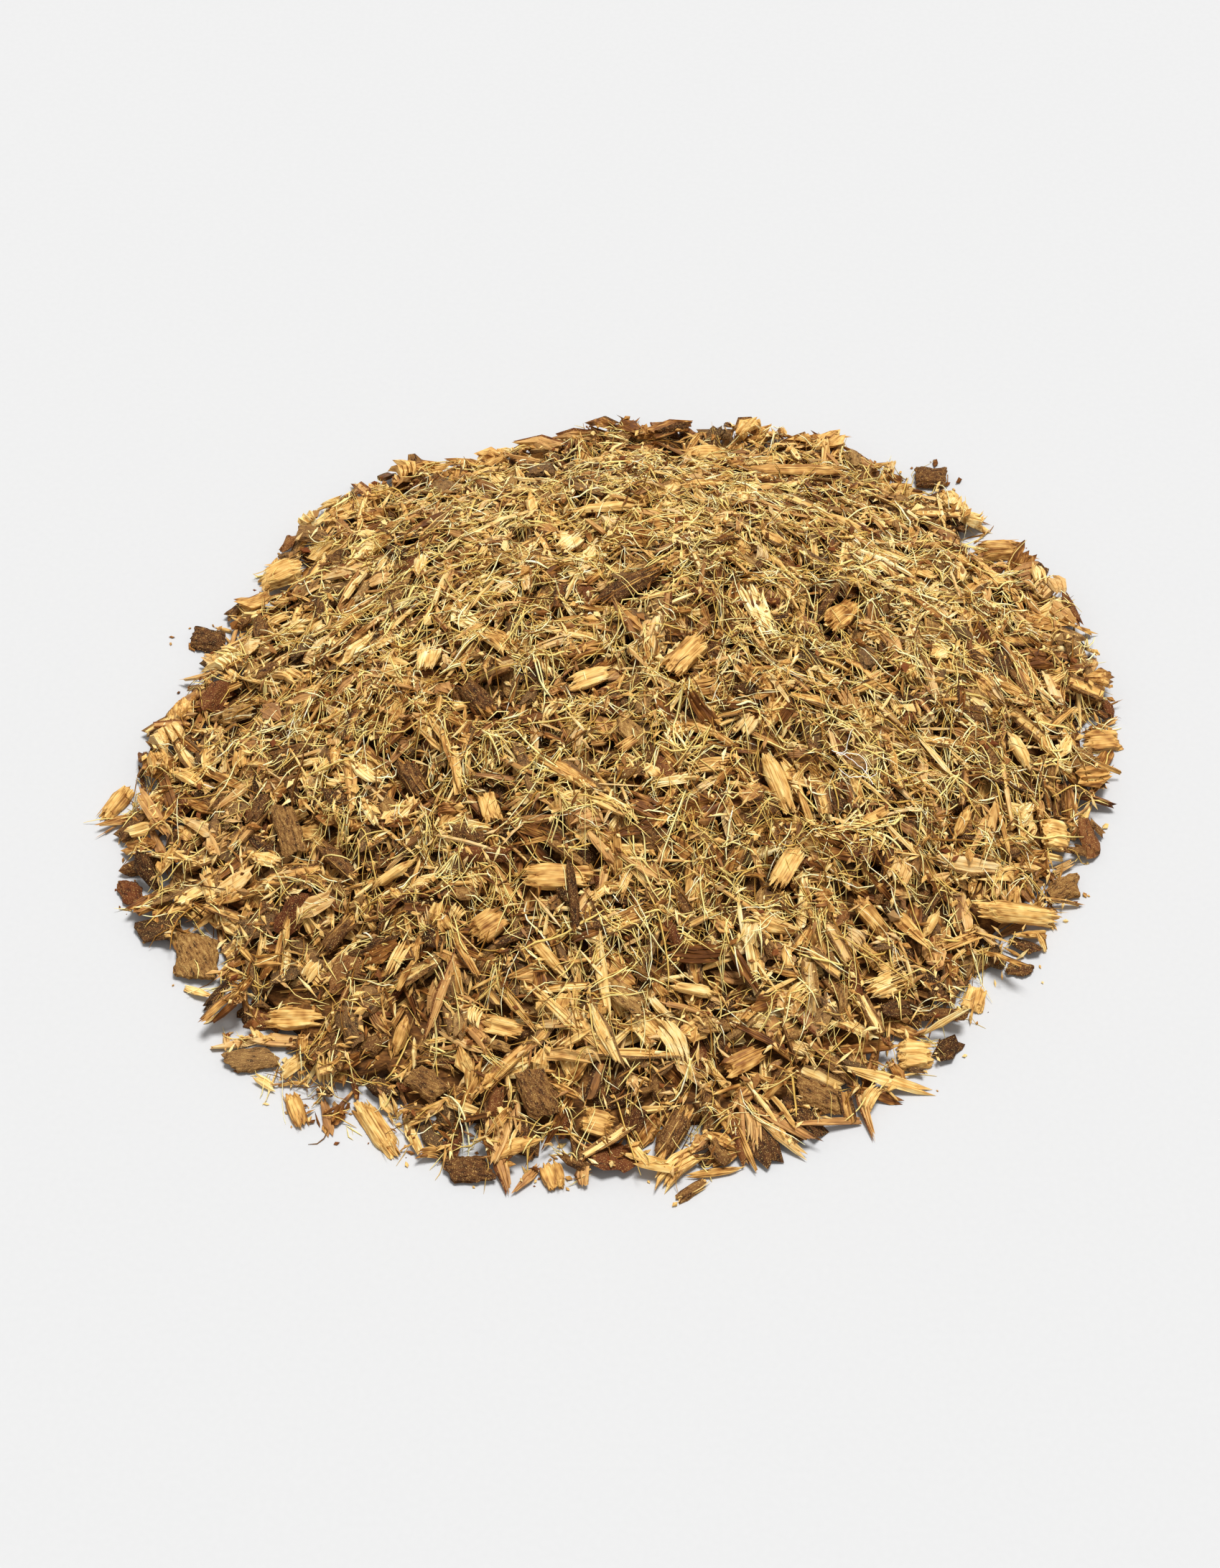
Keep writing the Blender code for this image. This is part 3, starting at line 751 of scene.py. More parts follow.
# %% Make room
LARGE = [name for name in sorted(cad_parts) if name != "shred_heap"]
OPEN = 1.0
UNDERSIDE = 0.35
FOOT = 0.4 * MM
NEAR = 3 * MM
PROUD = 3.2 * MM
PROUD_BESIDE = 0.5 * MM
SKIRT = 2.4 * MM
BRIDGE = 6 * MM
BACK_LIFT = -0.3
BACK_FROM = 60 * MM
RIM_BAND = 0.78, 0.18
RIM_FROM = -30 * MM
RIM_PROUD = 2.4 * MM
RIM_BLUR = 2.4 * MM
SKIRT_BLUR = 2.6 * MM


def spread_out(grid, radius):
    """The highest value of the grid within a radius of each cell."""
    reach = int(radius / CELL)
    highest = grid.copy()
    for dy in range(-reach, reach + 1):
        for dx in range(-reach, reach + 1):
            if dx * dx + dy * dy <= reach * reach:
                highest = np.maximum(highest, np.roll(grid, (dy, dx), (0, 1)))
    return highest


ceiling = np.full_like(level, OPEN)
taken = np.zeros_like(level, bool)
tops = np.zeros_like(level)
for name in LARGE:
    low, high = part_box(name)
    patch, found = heights_between(tree_of(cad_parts[name].data), low, high)
    tops[patch] = np.maximum(tops[patch], found)
    taken[patch] |= found > 0
    underside = np.where(found > 0, low.z + UNDERSIDE * (found - low.z), OPEN)
    ceiling[patch] = np.minimum(ceiling[patch], underside)
print("large pieces:", len(LARGE), "covering", round(taken.sum() * (CELL / MM) ** 2), "square mm")

# %% Skirt and limit
beside = spread_out(tops, NEAR)
footprint = spread_out(((level > FOOT) | taken).astype(float), BRIDGE)
footprint = 1 - spread_out(1 - footprint, BRIDGE)
rim_share = blurred(footprint, RIM_BLUR)
backness = np.clip(AXIS[:, None] / BACK_FROM, 0, 1)
slope = np.clip(2.6 * blurred(footprint, SKIRT_BLUR) - 0.45 + 0.1 * backness, 0, 1)
level = np.maximum(level, SKIRT * (1 + BACK_LIFT * backness) * slope)
at_rim = (np.abs(rim_share - RIM_BAND[0]) < RIM_BAND[1]) & (AXIS[:, None] > RIM_FROM)
limit = level + PROUD + RIM_PROUD * spread_out(at_rim.astype(float), NEAR)
limit[beside > 0] = np.minimum(limit, beside + PROUD_BESIDE)[beside > 0]
inside = np.maximum(inside, 0.7 * rim_share)
print("cells in the band for rim chips:", at_rim.sum())

# %% [markdown]
# ## Dropping shreds
# `land` lays one shred down: it fits a plane to the heights under the shred, leans it a little at random
# and lifts it until most of it is clear. `drop` also keeps its size and turn for later. Towards the near
# side and the rim the shreds are coarser, as they are in the photograph, because coarse pieces roll
# furthest when a heap is poured.

# %% Landing a shred
STEEPEST = 0.9
CLEAR_SHARE = 0.78
FOOTING = 0.9
SETTLE = 0.9
SLACK = 0.2 * MM


def coarseness(x, y):
    """0 where the heap is fine and fibrous, up to 1 at the near rim."""
    across, back = (x - heap_middle.x) / (95 * MM), (y - heap_middle.y) / (92 * MM)
    out = math.hypot(across, back)
    return min(1.0, max(0.0, 0.52 - 0.14 * back - 0.12 * across + 1.5 * max(0.0, out - 0.62)))


def land(x, y, heading, size, wobble, clear):
    """Lays a shred on the ground. clear is how much of it may lie over large pieces, or 0 for one that stays
    below them. Returns its middle and turn, or nothing where it would lie too high."""
    length, width, thick = size
    reach = math.hypot(length, width) / 2
    patch = cells_between(y - reach, y + reach), cells_between(x - reach, x + reach)
    dx, dy = AXIS[patch[1]][None, :] - x, AXIS[patch[0]][:, None] - y
    u = dx * math.cos(heading) + dy * math.sin(heading)
    v = dy * math.cos(heading) - dx * math.sin(heading)
    covered = (np.abs(u) <= length / 2) & (np.abs(v) <= width / 2)
    if covered.sum() < 4 or (clear and taken[patch][covered].mean() > clear):
        return None
    heights, u, v = ground[patch][covered], u[covered], v[covered]
    spare = heights - heights.mean()
    slope_u = np.clip(spare @ u / (u @ u + 1e-9) + rng.normal(0, wobble), -STEEPEST, STEEPEST)
    slope_v = np.clip(spare @ v / (v @ v + 1e-9) + rng.normal(0, 1.6 * wobble), -STEEPEST, STEEPEST)
    plane = slope_u * u + slope_v * v
    base = max(np.quantile(heights - plane, CLEAR_SHARE), -plane.min())
    highest = limit if clear else ceiling + SLACK
    if (base + plane + thick > highest[patch][covered]).any():
        return None
    ground[patch][covered] = np.maximum(heights, base + plane + SETTLE * thick)
    along = Vector((math.cos(heading), math.sin(heading), slope_u)).normalized()
    across = Vector((-math.sin(heading), math.cos(heading), slope_v))
    up = along.cross(across).normalized()
    return (x, y, base), Matrix((along, up.cross(along), up)).transposed()


def drop(layer, kind, x, y, heading, size, wobble, clear):
    """Lands a shred and makes it a row in shreds[kind]. Returns whether it landed."""
    length, width, thick = size
    place = land(x, y, heading, (FOOTING * length, FOOTING * width, thick), wobble, clear)
    if place:
        shreds[kind].append((layer, *place, size))
    return place is not None


near_rim, far_rim = (round(coarseness(0, y * MM), 2) for y in (-80, 90))
print("coarseness at the near rim:", near_rim, "and at the far rim:", far_rim)

# %% Filling up to a level
KINDS = ("torn", "cut", "bark", "stick", "splinter")
FAVOUR = np.array(((1.1, -0.4), (0.9, 0.4), (0.85, 0.3), (0.9, 0.2), (1.4, -1.1)))
LENGTHS = {  # millimetres in the fine part, how much more at the near rim, spread, shortest, longest
    "torn": (6.0, 3.0, 0.38, 2.4, 15),
    "cut": (6.0, 3.0, 0.38, 2.4, 15),
    "bark": (4.6, 2.4, 0.32, 2.4, 10),
    "stick": (6.0, 2.6, 0.28, 3.4, 13),
    "splinter": (7.0, 1.6, 0.34, 3.2, 16),
}
THINNEST = 0.8 * MM
SPARE_ROOM = 0.1, 0.75  # millimetres
TUMBLED_SHARE, TUMBLED = 0.2, 2.4


def scattered(count=None):
    """Random X and Y in the model's box."""
    return [rng.uniform(CAD_BOX[0][k], CAD_BOX[1][k], count) for k in (0, 1)]


def drawn(middle, spread, low, high, count=None):
    """Random sizes: many near the middle one, a few much larger."""
    return np.clip(rng.lognormal(math.log(middle), spread, count), low, high)


def shred_size(kind, coarse):
    """Length, width and thickness of a shred."""
    middle, more, *span = LENGTHS[kind]
    length = drawn(middle + more * coarse, *span)
    if kind == "bark":
        width = length * rng.uniform(0.30, 0.66)
        thick = rng.uniform(0.5, 1.0) + 0.3 * coarse
    elif kind == "stick":
        width = np.clip(length * rng.uniform(0.22, 0.42), 1.2, 3.6)
        thick = width * rng.uniform(0.45, 0.65)
    elif kind == "splinter":
        width = rng.uniform(0.35, 1.0)
        thick = width * rng.uniform(0.45, 0.8)
    else:
        width = drawn(1.7 + 0.7 * coarse, 0.42, 0.6, min(4.8, 0.6 * length))
        thick = (0.34 + 0.2 * width) * rng.uniform(0.8, 1.25)
    return length * MM, width * MM, thick * MM


def fill(layer, below, chances, tries, wobble, clear=0, stretch=1.0):
    """Drops shreds where the ground is lower than the level less below. chances are for the KINDS."""
    landed = 0
    for _ in range(tries):
        x, y = scattered()
        want = at(level, x, y)
        room = want - below - at(ground, x, y)
        if want < THINNEST or room < rng.uniform(*SPARE_ROOM) * MM:
            continue
        coarse = coarseness(x, y)
        weights = np.array(chances) * (FAVOUR[:, 0] + FAVOUR[:, 1] * coarse)
        kind = KINDS[rng.choice(len(KINDS), p=weights / weights.sum())]
        length, width, thick = shred_size(kind, coarse)
        heading = rng.uniform(0, math.tau)
        lean = wobble * (TUMBLED if rng.random() < TUMBLED_SHARE else 1.0)
        landed += drop(layer, kind, x, y, heading, (stretch * length, stretch * width, thick), lean, clear)
    return landed


rng = np.random.default_rng(17)
shreds = {kind: [] for kind in KINDS}
deep = fill("deep", 2.6 * MM, (0.0, 0.54, 0.24, 0.14, 0.08), 7000, 0.14)
middle = fill("middle", 1.3 * MM, (0.12, 0.38, 0.24, 0.14, 0.12), 8000, 0.18)
print("shreds in the deep layer:", deep, "and in the middle layer:", middle)

# %% [markdown]
# ## Fibres
# Bast fibres are long, thin and springy. A curve that follows every dip of the ground would look like wet
# thread, so a fibre bridges the gaps between the shreds that hold it up. Each is a bent line, sometimes
# with a kink. Its height is the highest ground within a millimetre or so, smoothed along the fibre, and
# one end may stand up. Fibres that split off one chip lie side by side, as a bunch.

# %% Laying fibres
FINE = 25
HOLD = 3
CROSSING = 0.08
BUNCH_SPREAD = 0.45 * MM
BUNCH_FAN = 0.22
DARK_SHARE = 0.22
SHAKE = 0.025 * MM
LIFT = 1.1
LIFTED_SHARE = 0.45
FIBRE_RADIUS = 0.108, 0.34, 0.05, 0.26
MOST_TAKEN = 0.2
LEAST_INSIDE = 0.04
ALONG = np.linspace(-0.5, 0.5, FINE)


def running(values, combine):
    """Combines each value along a line with its neighbours on both sides."""
    padded = np.pad(values, ((0, 0), (HOLD, HOLD)), mode="edge")
    return combine([padded[:, k:k + FINE] for k in range(2 * HOLD + 1)], axis=0)


def fibre_paths(x, y, heading, length, curl):
    """Places along fibres seen from above."""
    n, s, heading = len(x), ALONG, heading[:, None]
    bend = rng.normal(0, curl, (n, 1)) * s + rng.normal(0, curl, (n, 1)) * (s * s - 0.1) * 2
    kink = rng.normal(0, 0.6, (n, 1)) * (rng.random((n, 1)) < 0.15) * (s > rng.uniform(-0.35, 0.35, (n, 1)))
    step = length[:, None] / (FINE - 1)
    px = np.cumsum(np.cos(heading + bend + kink) * step, axis=1)
    py = np.cumsum(np.sin(heading + bend + kink) * step, axis=1)
    return px - px.mean(axis=1)[:, None] + x[:, None], py - py.mean(axis=1)[:, None] + y[:, None]


def fibre_starts(count, bunch):
    """Places and headings for fibres in bunches, mostly in the fine parts of the heap."""
    x, y = scattered(4 * count // bunch)
    coarse = np.array([coarseness(a, b) for a, b in zip(x, y)])
    keep = rng.random(len(x)) < np.clip(at(inside, x, y) * 2.2 - 0.35, 0, 1) * (1.0 - 0.80 * coarse)
    starts = x, y, rng.uniform(0, math.tau, len(x))
    x, y, heading = (np.repeat(v[keep][:count // bunch], bunch) for v in starts)
    x, y = (v + rng.normal(0, BUNCH_SPREAD, len(v)) for v in (x, y))
    return x, y, heading + rng.normal(0, BUNCH_FAN, len(heading))


def lay_fibres(name, count, knots, long, curl, tone, bunch=1):
    """Makes fibre_sets[name]: lines of points on the ground, their radii, and a tone for each line."""
    x, y, heading = fibre_starts(count, bunch)
    length = drawn(long, 0.4, 0.4 * long, 2.6 * long, len(x)) * MM
    px, py = fibre_paths(x, y, heading, length, curl)
    keep = (at(taken, px, py).mean(axis=1) < MOST_TAKEN) | (rng.random(len(x)) < CROSSING)
    keep &= at(inside, px, py).min(axis=1) > LEAST_INSIDE
    px, py = px[keep], py[keep]
    n = len(px)
    height = at(ground, px, py)
    smooth = running(0.7 * running(height, np.max) + 0.3 * height, np.mean)
    lifted = np.abs(rng.normal(0, LIFT, (n, 1))) * MM * (rng.random((n, 1)) < LIFTED_SHARE)
    side = rng.choice([-1, 1], (n, 1))
    smooth = smooth + lifted * np.clip(2 * side * ALONG, 0, 1) ** 1.5
    pick = np.rint(np.linspace(0, FINE - 1, knots)).astype(int)
    radius = drawn(*FIBRE_RADIUS, (n, 1)) * MM
    taper = np.interp(np.linspace(-1, 1, knots), (-1, -0.6, 0.6, 1), (0.35, 1, 1, 0.35))
    points = np.stack([px[:, pick], py[:, pick], smooth[:, pick] + radius], axis=-1)
    points += rng.normal(0, SHAKE, (n, knots, 3))
    tones = np.where(rng.random(n) < DARK_SHARE, rng.uniform(0.0, 0.25, n), rng.normal(tone, 0.14, n))
    fibre_sets[name] = points, radius * taper, np.clip(tones, 0.0, 0.92)
    print(name, "laid:", n)


fibre_sets = {}
# The deep fibres get a lower tone than the later sets: painted shade for lying deep in the heap.
lay_fibres("fibres_deep", 2600, 5, 7.5, 0.8, 0.48)

# %% [markdown]
# ## Slivers and the top layer
# The gaps between real chips are full of slivers. They are the most numerous shreds of all, so eight
# faces each must do, and each one only leans on what its two ends touch. They come after the top layer of
# chips, and the last chips lie loose on them and can be seen whole.

# %% Slivers
def spots_where(count, share_at):
    """Random places, each kept as often as share_at says for it."""
    while count:
        x, y = scattered()
        if rng.random() <= share_at(x, y):
            count -= 1
            yield x, y


def sliver_share(x, y):
    return -1 if at(taken, x, y) else 2.0 * at(inside, x, y) - 0.5


def sliver_rows(count):
    """Small slivers that lean on what their two ends touch."""
    rows = []
    for x, y in spots_where(count, sliver_share):
        length, heading = drawn(2.6, 0.38, 1.2, 5.5) * MM, rng.uniform(0, math.tau)
        side = 0.4 * length * np.array((math.cos(heading), math.sin(heading)))
        ends = [at(ground, x + k * side[0], y + k * side[1]) for k in (-1, 1)]
        slope = np.clip((ends[1] - ends[0]) / (0.8 * length) + rng.normal(0, 0.2), -1.2, 1.2)
        turn = Matrix.Rotation(heading, 3, "Z") @ Matrix.Rotation(-math.atan(slope), 3, "Y")
        turn = turn @ Matrix.Rotation(rng.uniform(-0.7, 0.7), 3, "X")
        z = max(sum(ends) / 2, at(ground, x, y) - 0.2 * MM)
        size = length, rng.uniform(0.35, 0.85) * MM, rng.uniform(0.25, 0.5) * MM
        rows.append(("top", (x, y, z), turn, size))
    return rows


ground = np.maximum(ground, tops)
top = fill("top", 0.2 * MM, (0.24, 0.28, 0.18, 0.10, 0.20), 14000, 0.24, clear=0.05)
lay_fibres("fibres_top_1", 2100, 7, 7.4, 0.85, 0.60)
shreds["sliver"] = sliver_rows(5200)
print("shreds in the top layer:", top, "and slivers:", len(shreds["sliver"]))

# %% [markdown]
# ## Rim chips
# The largest loose chips roll to the foot of a heap and stay there. `fill` could drop them, but it puts
# them anywhere, so these are tried in a band along the rim, at the back and sides, and stay where they
# fit.

# %% Rim chips
RIM_KINDS = ("torn", "cut", "bark", "stick")
RIM_CHANCES = 0.20, 0.50, 0.16, 0.14
RIM_SIZES = (6.2, 11.5), (3.5, 5.8), (1.5, 2.7)


def rim_chips():
    """Large chips along the edge of the heap."""
    rows, columns = np.nonzero(at_rim)
    landed = 0
    for k in rng.permutation(len(rows)):
        kind = RIM_KINDS[rng.choice(len(RIM_KINDS), p=RIM_CHANCES)]
        size = tuple(rng.uniform(*ends) * MM for ends in RIM_SIZES)
        x, y, heading = AXIS[columns[k]], AXIS[rows[k]], rng.uniform(0, math.tau)
        landed += drop("rim", kind, x, y, heading, size, 0.30, 0.05)
    return landed


print("rim chips:", rim_chips())

# %% Loose chips and the last fibres
loose = fill("top", -1.2 * MM, (0.22, 0.28, 0.18, 0.11, 0.21), 20000, 0.28, clear=0.05, stretch=1.25)
shreds["sliver"] += sliver_rows(1000)
print("loose chips:", loose, "highest in mm:", round(ground.max() / MM, 1))
lay_fibres("fibres_top_2", 2000, 7, 7.0, 0.75, 0.80, 2)
lay_fibres("fibres_short", 5600, 4, 4.1, 0.42, 0.76, 3)

# %% [markdown]
# ## A dark stick
# One dark root lies across the right end of the longest pale chip, and the eye finds it at once. It could
# be waited for among the random sticks, but a piece that stands out is better given its place.

# %% A dark stick
DARK_STICK = 13.0 * MM, 1.9 * MM, 1.5 * MM
DARK_STICK_HEADING = math.radians(96)


def lay_dark_stick():
    """Lands the stick near the right end of the long chip, over it."""
    low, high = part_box("wood_chip_01")
    x, y = low.x + 0.70 * (high.x - low.x), (low.y + high.y) / 2 - 4.5 * MM
    limit[:] = OPEN
    place = land(x, y, DARK_STICK_HEADING, DARK_STICK, 0.0, 1.0)
    shreds["stick"].append(("dark", *place, DARK_STICK))
    return place[0]


print("dark stick in mm:", [round(c / MM, 1) for c in lay_dark_stick()])

# %% [markdown]
# ## Frayed ends
# Where a chip tore instead of breaking, single fibres stand out of its end. The shapes could have them,
# but then every copy would fray alike. So they are laid in the chip's own directions, fanned out a
# little, and become fibres like the others. One chip in ten has a whole brush of them.

# %% Frayed ends
BRUSH_SHARE = 0.10
FRAY_STEPS = 0, 0.35, 0.7, 1


def frayed_ends(rows):
    """Short fibres out of the ends of the top chips."""
    lines, radii, tones = [], [], []
    for layer, middle, turn, (length, width, thick) in rows:
        if layer not in ("top", "rim"):
            continue
        brush = rng.random() < BRUSH_SHARE
        brush_side, brush_reach = rng.choice((-1, 1)), rng.uniform(2.0, 4.5)
        for _ in range(rng.integers(5, 9) if brush else rng.integers(0, 3)):
            side = brush_side if brush else rng.choice((-1, 1))
            reach = (brush_reach if brush else 1.5) * rng.uniform(0.6, 1.2) * MM
            y = rng.uniform(-0.4, 0.4) * width
            fan = Vector((side, rng.normal(0, 0.25) + 0.3 * y / width, rng.normal(0, 0.16)))
            start = Vector((side * 0.38 * length, y, rng.uniform(0.4, 0.9) * thick))
            line = [Vector(middle) + turn @ (start + fan * t * (reach + 0.12 * length)) for t in FRAY_STEPS]
            lines.append([(p.x, p.y, max(p.z, 0.1 * MM)) for p in line])
            radius = rng.uniform(0.06, 0.13) * MM
            radii.append([radius, radius, 0.8 * radius, 0.3 * radius])
            tones.append(rng.uniform(0.5, 0.95))
    return np.array(lines), np.array(radii), np.array(tones)


fibre_sets["frayed_ends"] = frayed_ends(shreds["torn"] + shreds["stick"])
print("frayed fibres:", len(fibre_sets["frayed_ends"][0]))

# %% [markdown]
# ## White threads
# On the right side a few root hairs have stayed white. A simulated cord would be more than such a small
# thing needs, so each is a line that sways a little as it runs over the shreds.

# %% White threads
THREADS_AT = np.array((46.0, -15.5)) * MM
THREADS = 4
THREAD_KNOTS = 20
THREAD_STEP = 0.45 * MM
THREAD_RADIUS = 0.08 * MM


def white_threads():
    """Swaying lines side by side, on top of the ground."""
    lines, smooth_ground = [], blurred(spread_out(ground, 1 * MM), 1 * MM)
    for _ in range(THREADS):
        heading, turn, line = rng.normal(-0.2, 0.35), 0.0, []
        spot = THREADS_AT + rng.normal(0, 0.9, 2) * MM - THREAD_STEP * THREAD_KNOTS / 2 * np.array((1, 0))
        for _ in range(THREAD_KNOTS):
            turn = np.clip(turn + rng.normal(0, 0.12), -0.24, 0.24)
            heading += turn
            spot = spot + THREAD_STEP * np.array((math.cos(heading), math.sin(heading)))
            line.append((*spot, at(smooth_ground, *spot) + rng.uniform(0.5, 0.7) * MM))
        lines.append(line)
    return np.array(lines), np.full((THREADS, THREAD_KNOTS), THREAD_RADIUS), np.ones(THREADS)


fibre_sets["white_threads"] = white_threads()
print("white threads:", len(fibre_sets["white_threads"][0]))

# %% [markdown]
# ## Crumbs
# Sifting leaves crumbs and dust. A rough pattern on the shreds could stand for them, but real crumbs cast
# small shadows. So each is a small solid grain: most lie in the heap, and a few have rolled out past its
# rim.

# %% Crumbs
def crumb_share(x, y):
    return (0.05 if at(taken, x, y) else 1.0) * (1.6 * at(inside, x, y) - 0.005)


def crumb_rows(count):
    """Crumbs on the heap and round it."""
    rows = []
    for x, y in spots_where(count, crumb_share):
        size = drawn(0.66, 0.45, 0.25, 2.2) * MM
        turn = Matrix.Rotation(rng.uniform(0, math.tau), 3, "Z")
        turn = turn @ Matrix.Rotation(rng.uniform(-0.5, 0.5), 3, "X")
        dims = (size * rng.uniform(1, 1.8), size * rng.uniform(0.6, 1), size * rng.uniform(0.5, 0.8))
        rows.append(("top", (x, y, at(ground, x, y)), turn, dims))
    return rows


shreds["crumb"] = crumb_rows(4000)
print("crumbs:", len(shreds["crumb"]))

# %% [markdown]
# ## Copies with Geometry Nodes
# Each shred is now one point with a turn, a size and a few notes. A loop that copies meshes would work,
# but a Geometry Nodes tree does it in a second: it puts a shape on every point, makes the copies real,
# gives each its own square of the map and sets the finish. The result is copied out as a plain mesh.

# %% Strewing tree
SQUARE_SHARE = 0.92
FLOOR_GAP = 0.01 * MM
SPARE_NOTES = ("turn", "size", "form", "corner", "thick", "along", "round")


def open_tree(name, inputs):
    """A Geometry Nodes tree with named inputs. Returns its net and its inputs by name."""
    tree = bpy.data.node_groups.new(name, "GeometryNodeTree")
    tree.interface.new_socket("Geometry", in_out="INPUT", socket_type="NodeSocketGeometry")
    for label, kind in inputs.items():
        tree.interface.new_socket(label, in_out="INPUT", socket_type=kind)
    tree.interface.new_socket("Geometry", in_out="OUTPUT", socket_type="NodeSocketGeometry")
    net = Net(tree)
    entry = tree.nodes.new("NodeGroupInput")
    return net, {label: Value(net, entry.outputs[label]) for label in ("Geometry", *inputs)}


def close_tree(net, geometry, finish):
    """Ends a tree: nothing sinks into the floor, and everything wears the finish."""
    above = net.vectors("MAXIMUM", net.add("GeometryNodeInputPosition"), (-1, -1, FLOOR_GAP))
    real = net.add("GeometryNodeSetPosition", {"Geometry": geometry, "Position": above})
    real = net.add("GeometryNodeSetMaterial", {"Geometry": real, "Material": finish})
    net.add("NodeGroupOutput", {"Geometry": real})
    return net.tree


def noted(net, name, kind="FLOAT_VECTOR"):
    """A note on the points, for Geometry Nodes."""
    return net.add("GeometryNodeInputNamedAttribute", {"Name": name}, {"data_type": kind})


def store(net, geometry, name, value, kind="FLOAT_VECTOR", domain="POINT"):
    """Writes a note, for Geometry Nodes."""
    sockets = {"Geometry": geometry, "Name": name, "Value": value}
    return net.add("GeometryNodeStoreNamedAttribute", sockets, {"data_type": kind, "domain": domain})


def strewing_tree():
    """Puts a shape of the collection on every point, turned and sized by the point's notes."""
    kinds = {"Shapes": "NodeSocketCollection", "Finish": "NodeSocketMaterial", "Square": "NodeSocketFloat"}
    net, given = open_tree("strew shreds", kinds)
    sockets = {"Collection": given["Shapes"], "Separate Children": True, "Reset Children": True}
    shapes = net.add("GeometryNodeCollectionInfo", sockets)
    turn = net.add("FunctionNodeEulerToRotation", {0: noted(net, "turn")})
    copies = net.add("GeometryNodeInstanceOnPoints", {
        "Points": given["Geometry"], "Instance": shapes, "Pick Instance": True,
        "Instance Index": noted(net, "form", "INT"), "Rotation": turn, "Scale": noted(net, "size")})
    real = net.add("GeometryNodeRealizeInstances", {"Geometry": copies})
    place = net.vectors("MULTIPLY", noted(net, "grain"), noted(net, "size"))
    place = net.vectors("ADD", place, net.vectors("MULTIPLY", noted(net, "luck", "FLOAT"), (137, 211, 173)))
    real = store(net, real, "grain", place)
    square = net.vectors("MULTIPLY", noted(net, MAP_NAME), given["Square"] * SQUARE_SHARE)
    square = net.vectors("ADD", square, noted(net, "corner"))
    real = store(net, real, MAP_NAME, square, "FLOAT2", "CORNER")
    return close_tree(net, real, given["Finish"])


def run_tree(name, mesh, tree, inputs):
    """Gives a mesh to a tree with the named inputs, and returns an object that holds the result as a mesh."""
    carrier = stand(name, mesh)
    modifier = carrier.modifiers.new("tree", "NODES")
    modifier.node_group = tree
    for item in tree.interface.items_tree:
        if item.in_out == "INPUT" and item.name in inputs:
            modifier[item.identifier] = inputs[item.name]
    graph = bpy.context.evaluated_depsgraph_get()
    made = carrier.evaluated_get(graph)
    result = bpy.data.meshes.new_from_object(made, preserve_all_data_layers=True, depsgraph=graph)
    carrier.modifiers.clear()
    carrier.data = result
    result.name = name
    for spare in SPARE_NOTES:
        if spare in result.attributes:
            result.attributes.remove(result.attributes[spare])
    return carrier


def point_mesh(name, points, edges, notes):
    """A mesh of loose points and edges that carries notes: (name, kind, values)."""
    mesh = bpy.data.meshes.new(name)
    mesh.from_pydata(points, edges, [])
    for note in notes:
        write_note(mesh, *note)
    return mesh


STREW = strewing_tree()
print("strewing tree nodes:", len(STREW.nodes))

# %% Strew the shreds
TONES = {  # mean and spread
    "torn": (0.54, 0.23),
    "cut": (0.50, 0.23),
    "stick": (0.50, 0.20),
    "splinter": (0.64, 0.20),
    "bark": (0.46, 0.24),
    "crumb": (0.42, 0.30),
    "sliver": (0.52, 0.28),
}
# Tone shifts by layer: painted shade on the deep and middle layers, painted light on the top layer and the
# rim chips, and the dark stick's own dark colour.
LAYER_PAINTED_LIGHT_SHADE_AND_DARK_ROOT = {"deep": -0.44, "middle": -0.26, "top": 0.07, "rim": 0.10, "dark": -0.90}
BROWN_SHARE = 0.24
BROWNER = -0.30
ZONE = 15 * MM
ZONE_TONE = 0.22
AGED = 0.035
COARSE_PALER = 0.04
SHAPE_SIZE = np.array((SHAPE_LENGTH, SHAPE_WIDTH, SHAPE_THICK))


def tones_of(kind, rows):
    """A tone for each shred: painted shade deep down and painted light on top, browner in some zones, and
    steadier where it is coarse.
    """
    mean, spread = TONES[kind]
    coarse = np.array([coarseness(*row[1][:2]) for row in rows])
    shift = ZONE_TONE * np.array([noise.noise(Vector((*row[1][:2], 0)) / ZONE) for row in rows])
    # Painted shade and light by layer, weaker where the heap is coarse.
    shift += np.array([LAYER_PAINTED_LIGHT_SHADE_AND_DARK_ROOT[row[0]] for row in rows]) * (1 - 0.7 * coarse)
    brown = BROWNER * (rng.random(len(rows)) < BROWN_SHARE)
    tone = mean - AGED + COARSE_PALER * coarse + rng.normal(0, spread, len(rows)) * (1.14 - 0.38 * coarse)
    return np.clip(tone + shift + brown, 0.03, 0.82 - 0.12 * coarse)


def strew(name, kind, finish, rows):
    """One object of all the shreds in rows."""
    count = len(rows)
    side = math.ceil(math.sqrt(count))
    order = np.arange(count)
    notes = (
        ("tone", "FLOAT", tones_of(kind, rows)),
        ("turn", "FLOAT_VECTOR", np.array([row[2].to_euler() for row in rows])),
        ("size", "FLOAT_VECTOR", np.array([row[3] for row in rows]) / SHAPE_SIZE),
        ("form", "INT", rng.integers(0, len(SHAPES[kind]), count)),
        ("luck", "FLOAT", rng.random(count)),
        ("corner", "FLOAT_VECTOR", np.stack([order % side, order // side, 0 * order], axis=-1) / side),
    )
    mesh = point_mesh(name, np.array([row[1] for row in rows]), [], notes)
    inputs = {"Shapes": LIBRARIES[kind], "Finish": FINISHES[finish], "Square": 1 / side}
    return run_tree(name, mesh, STREW, inputs)


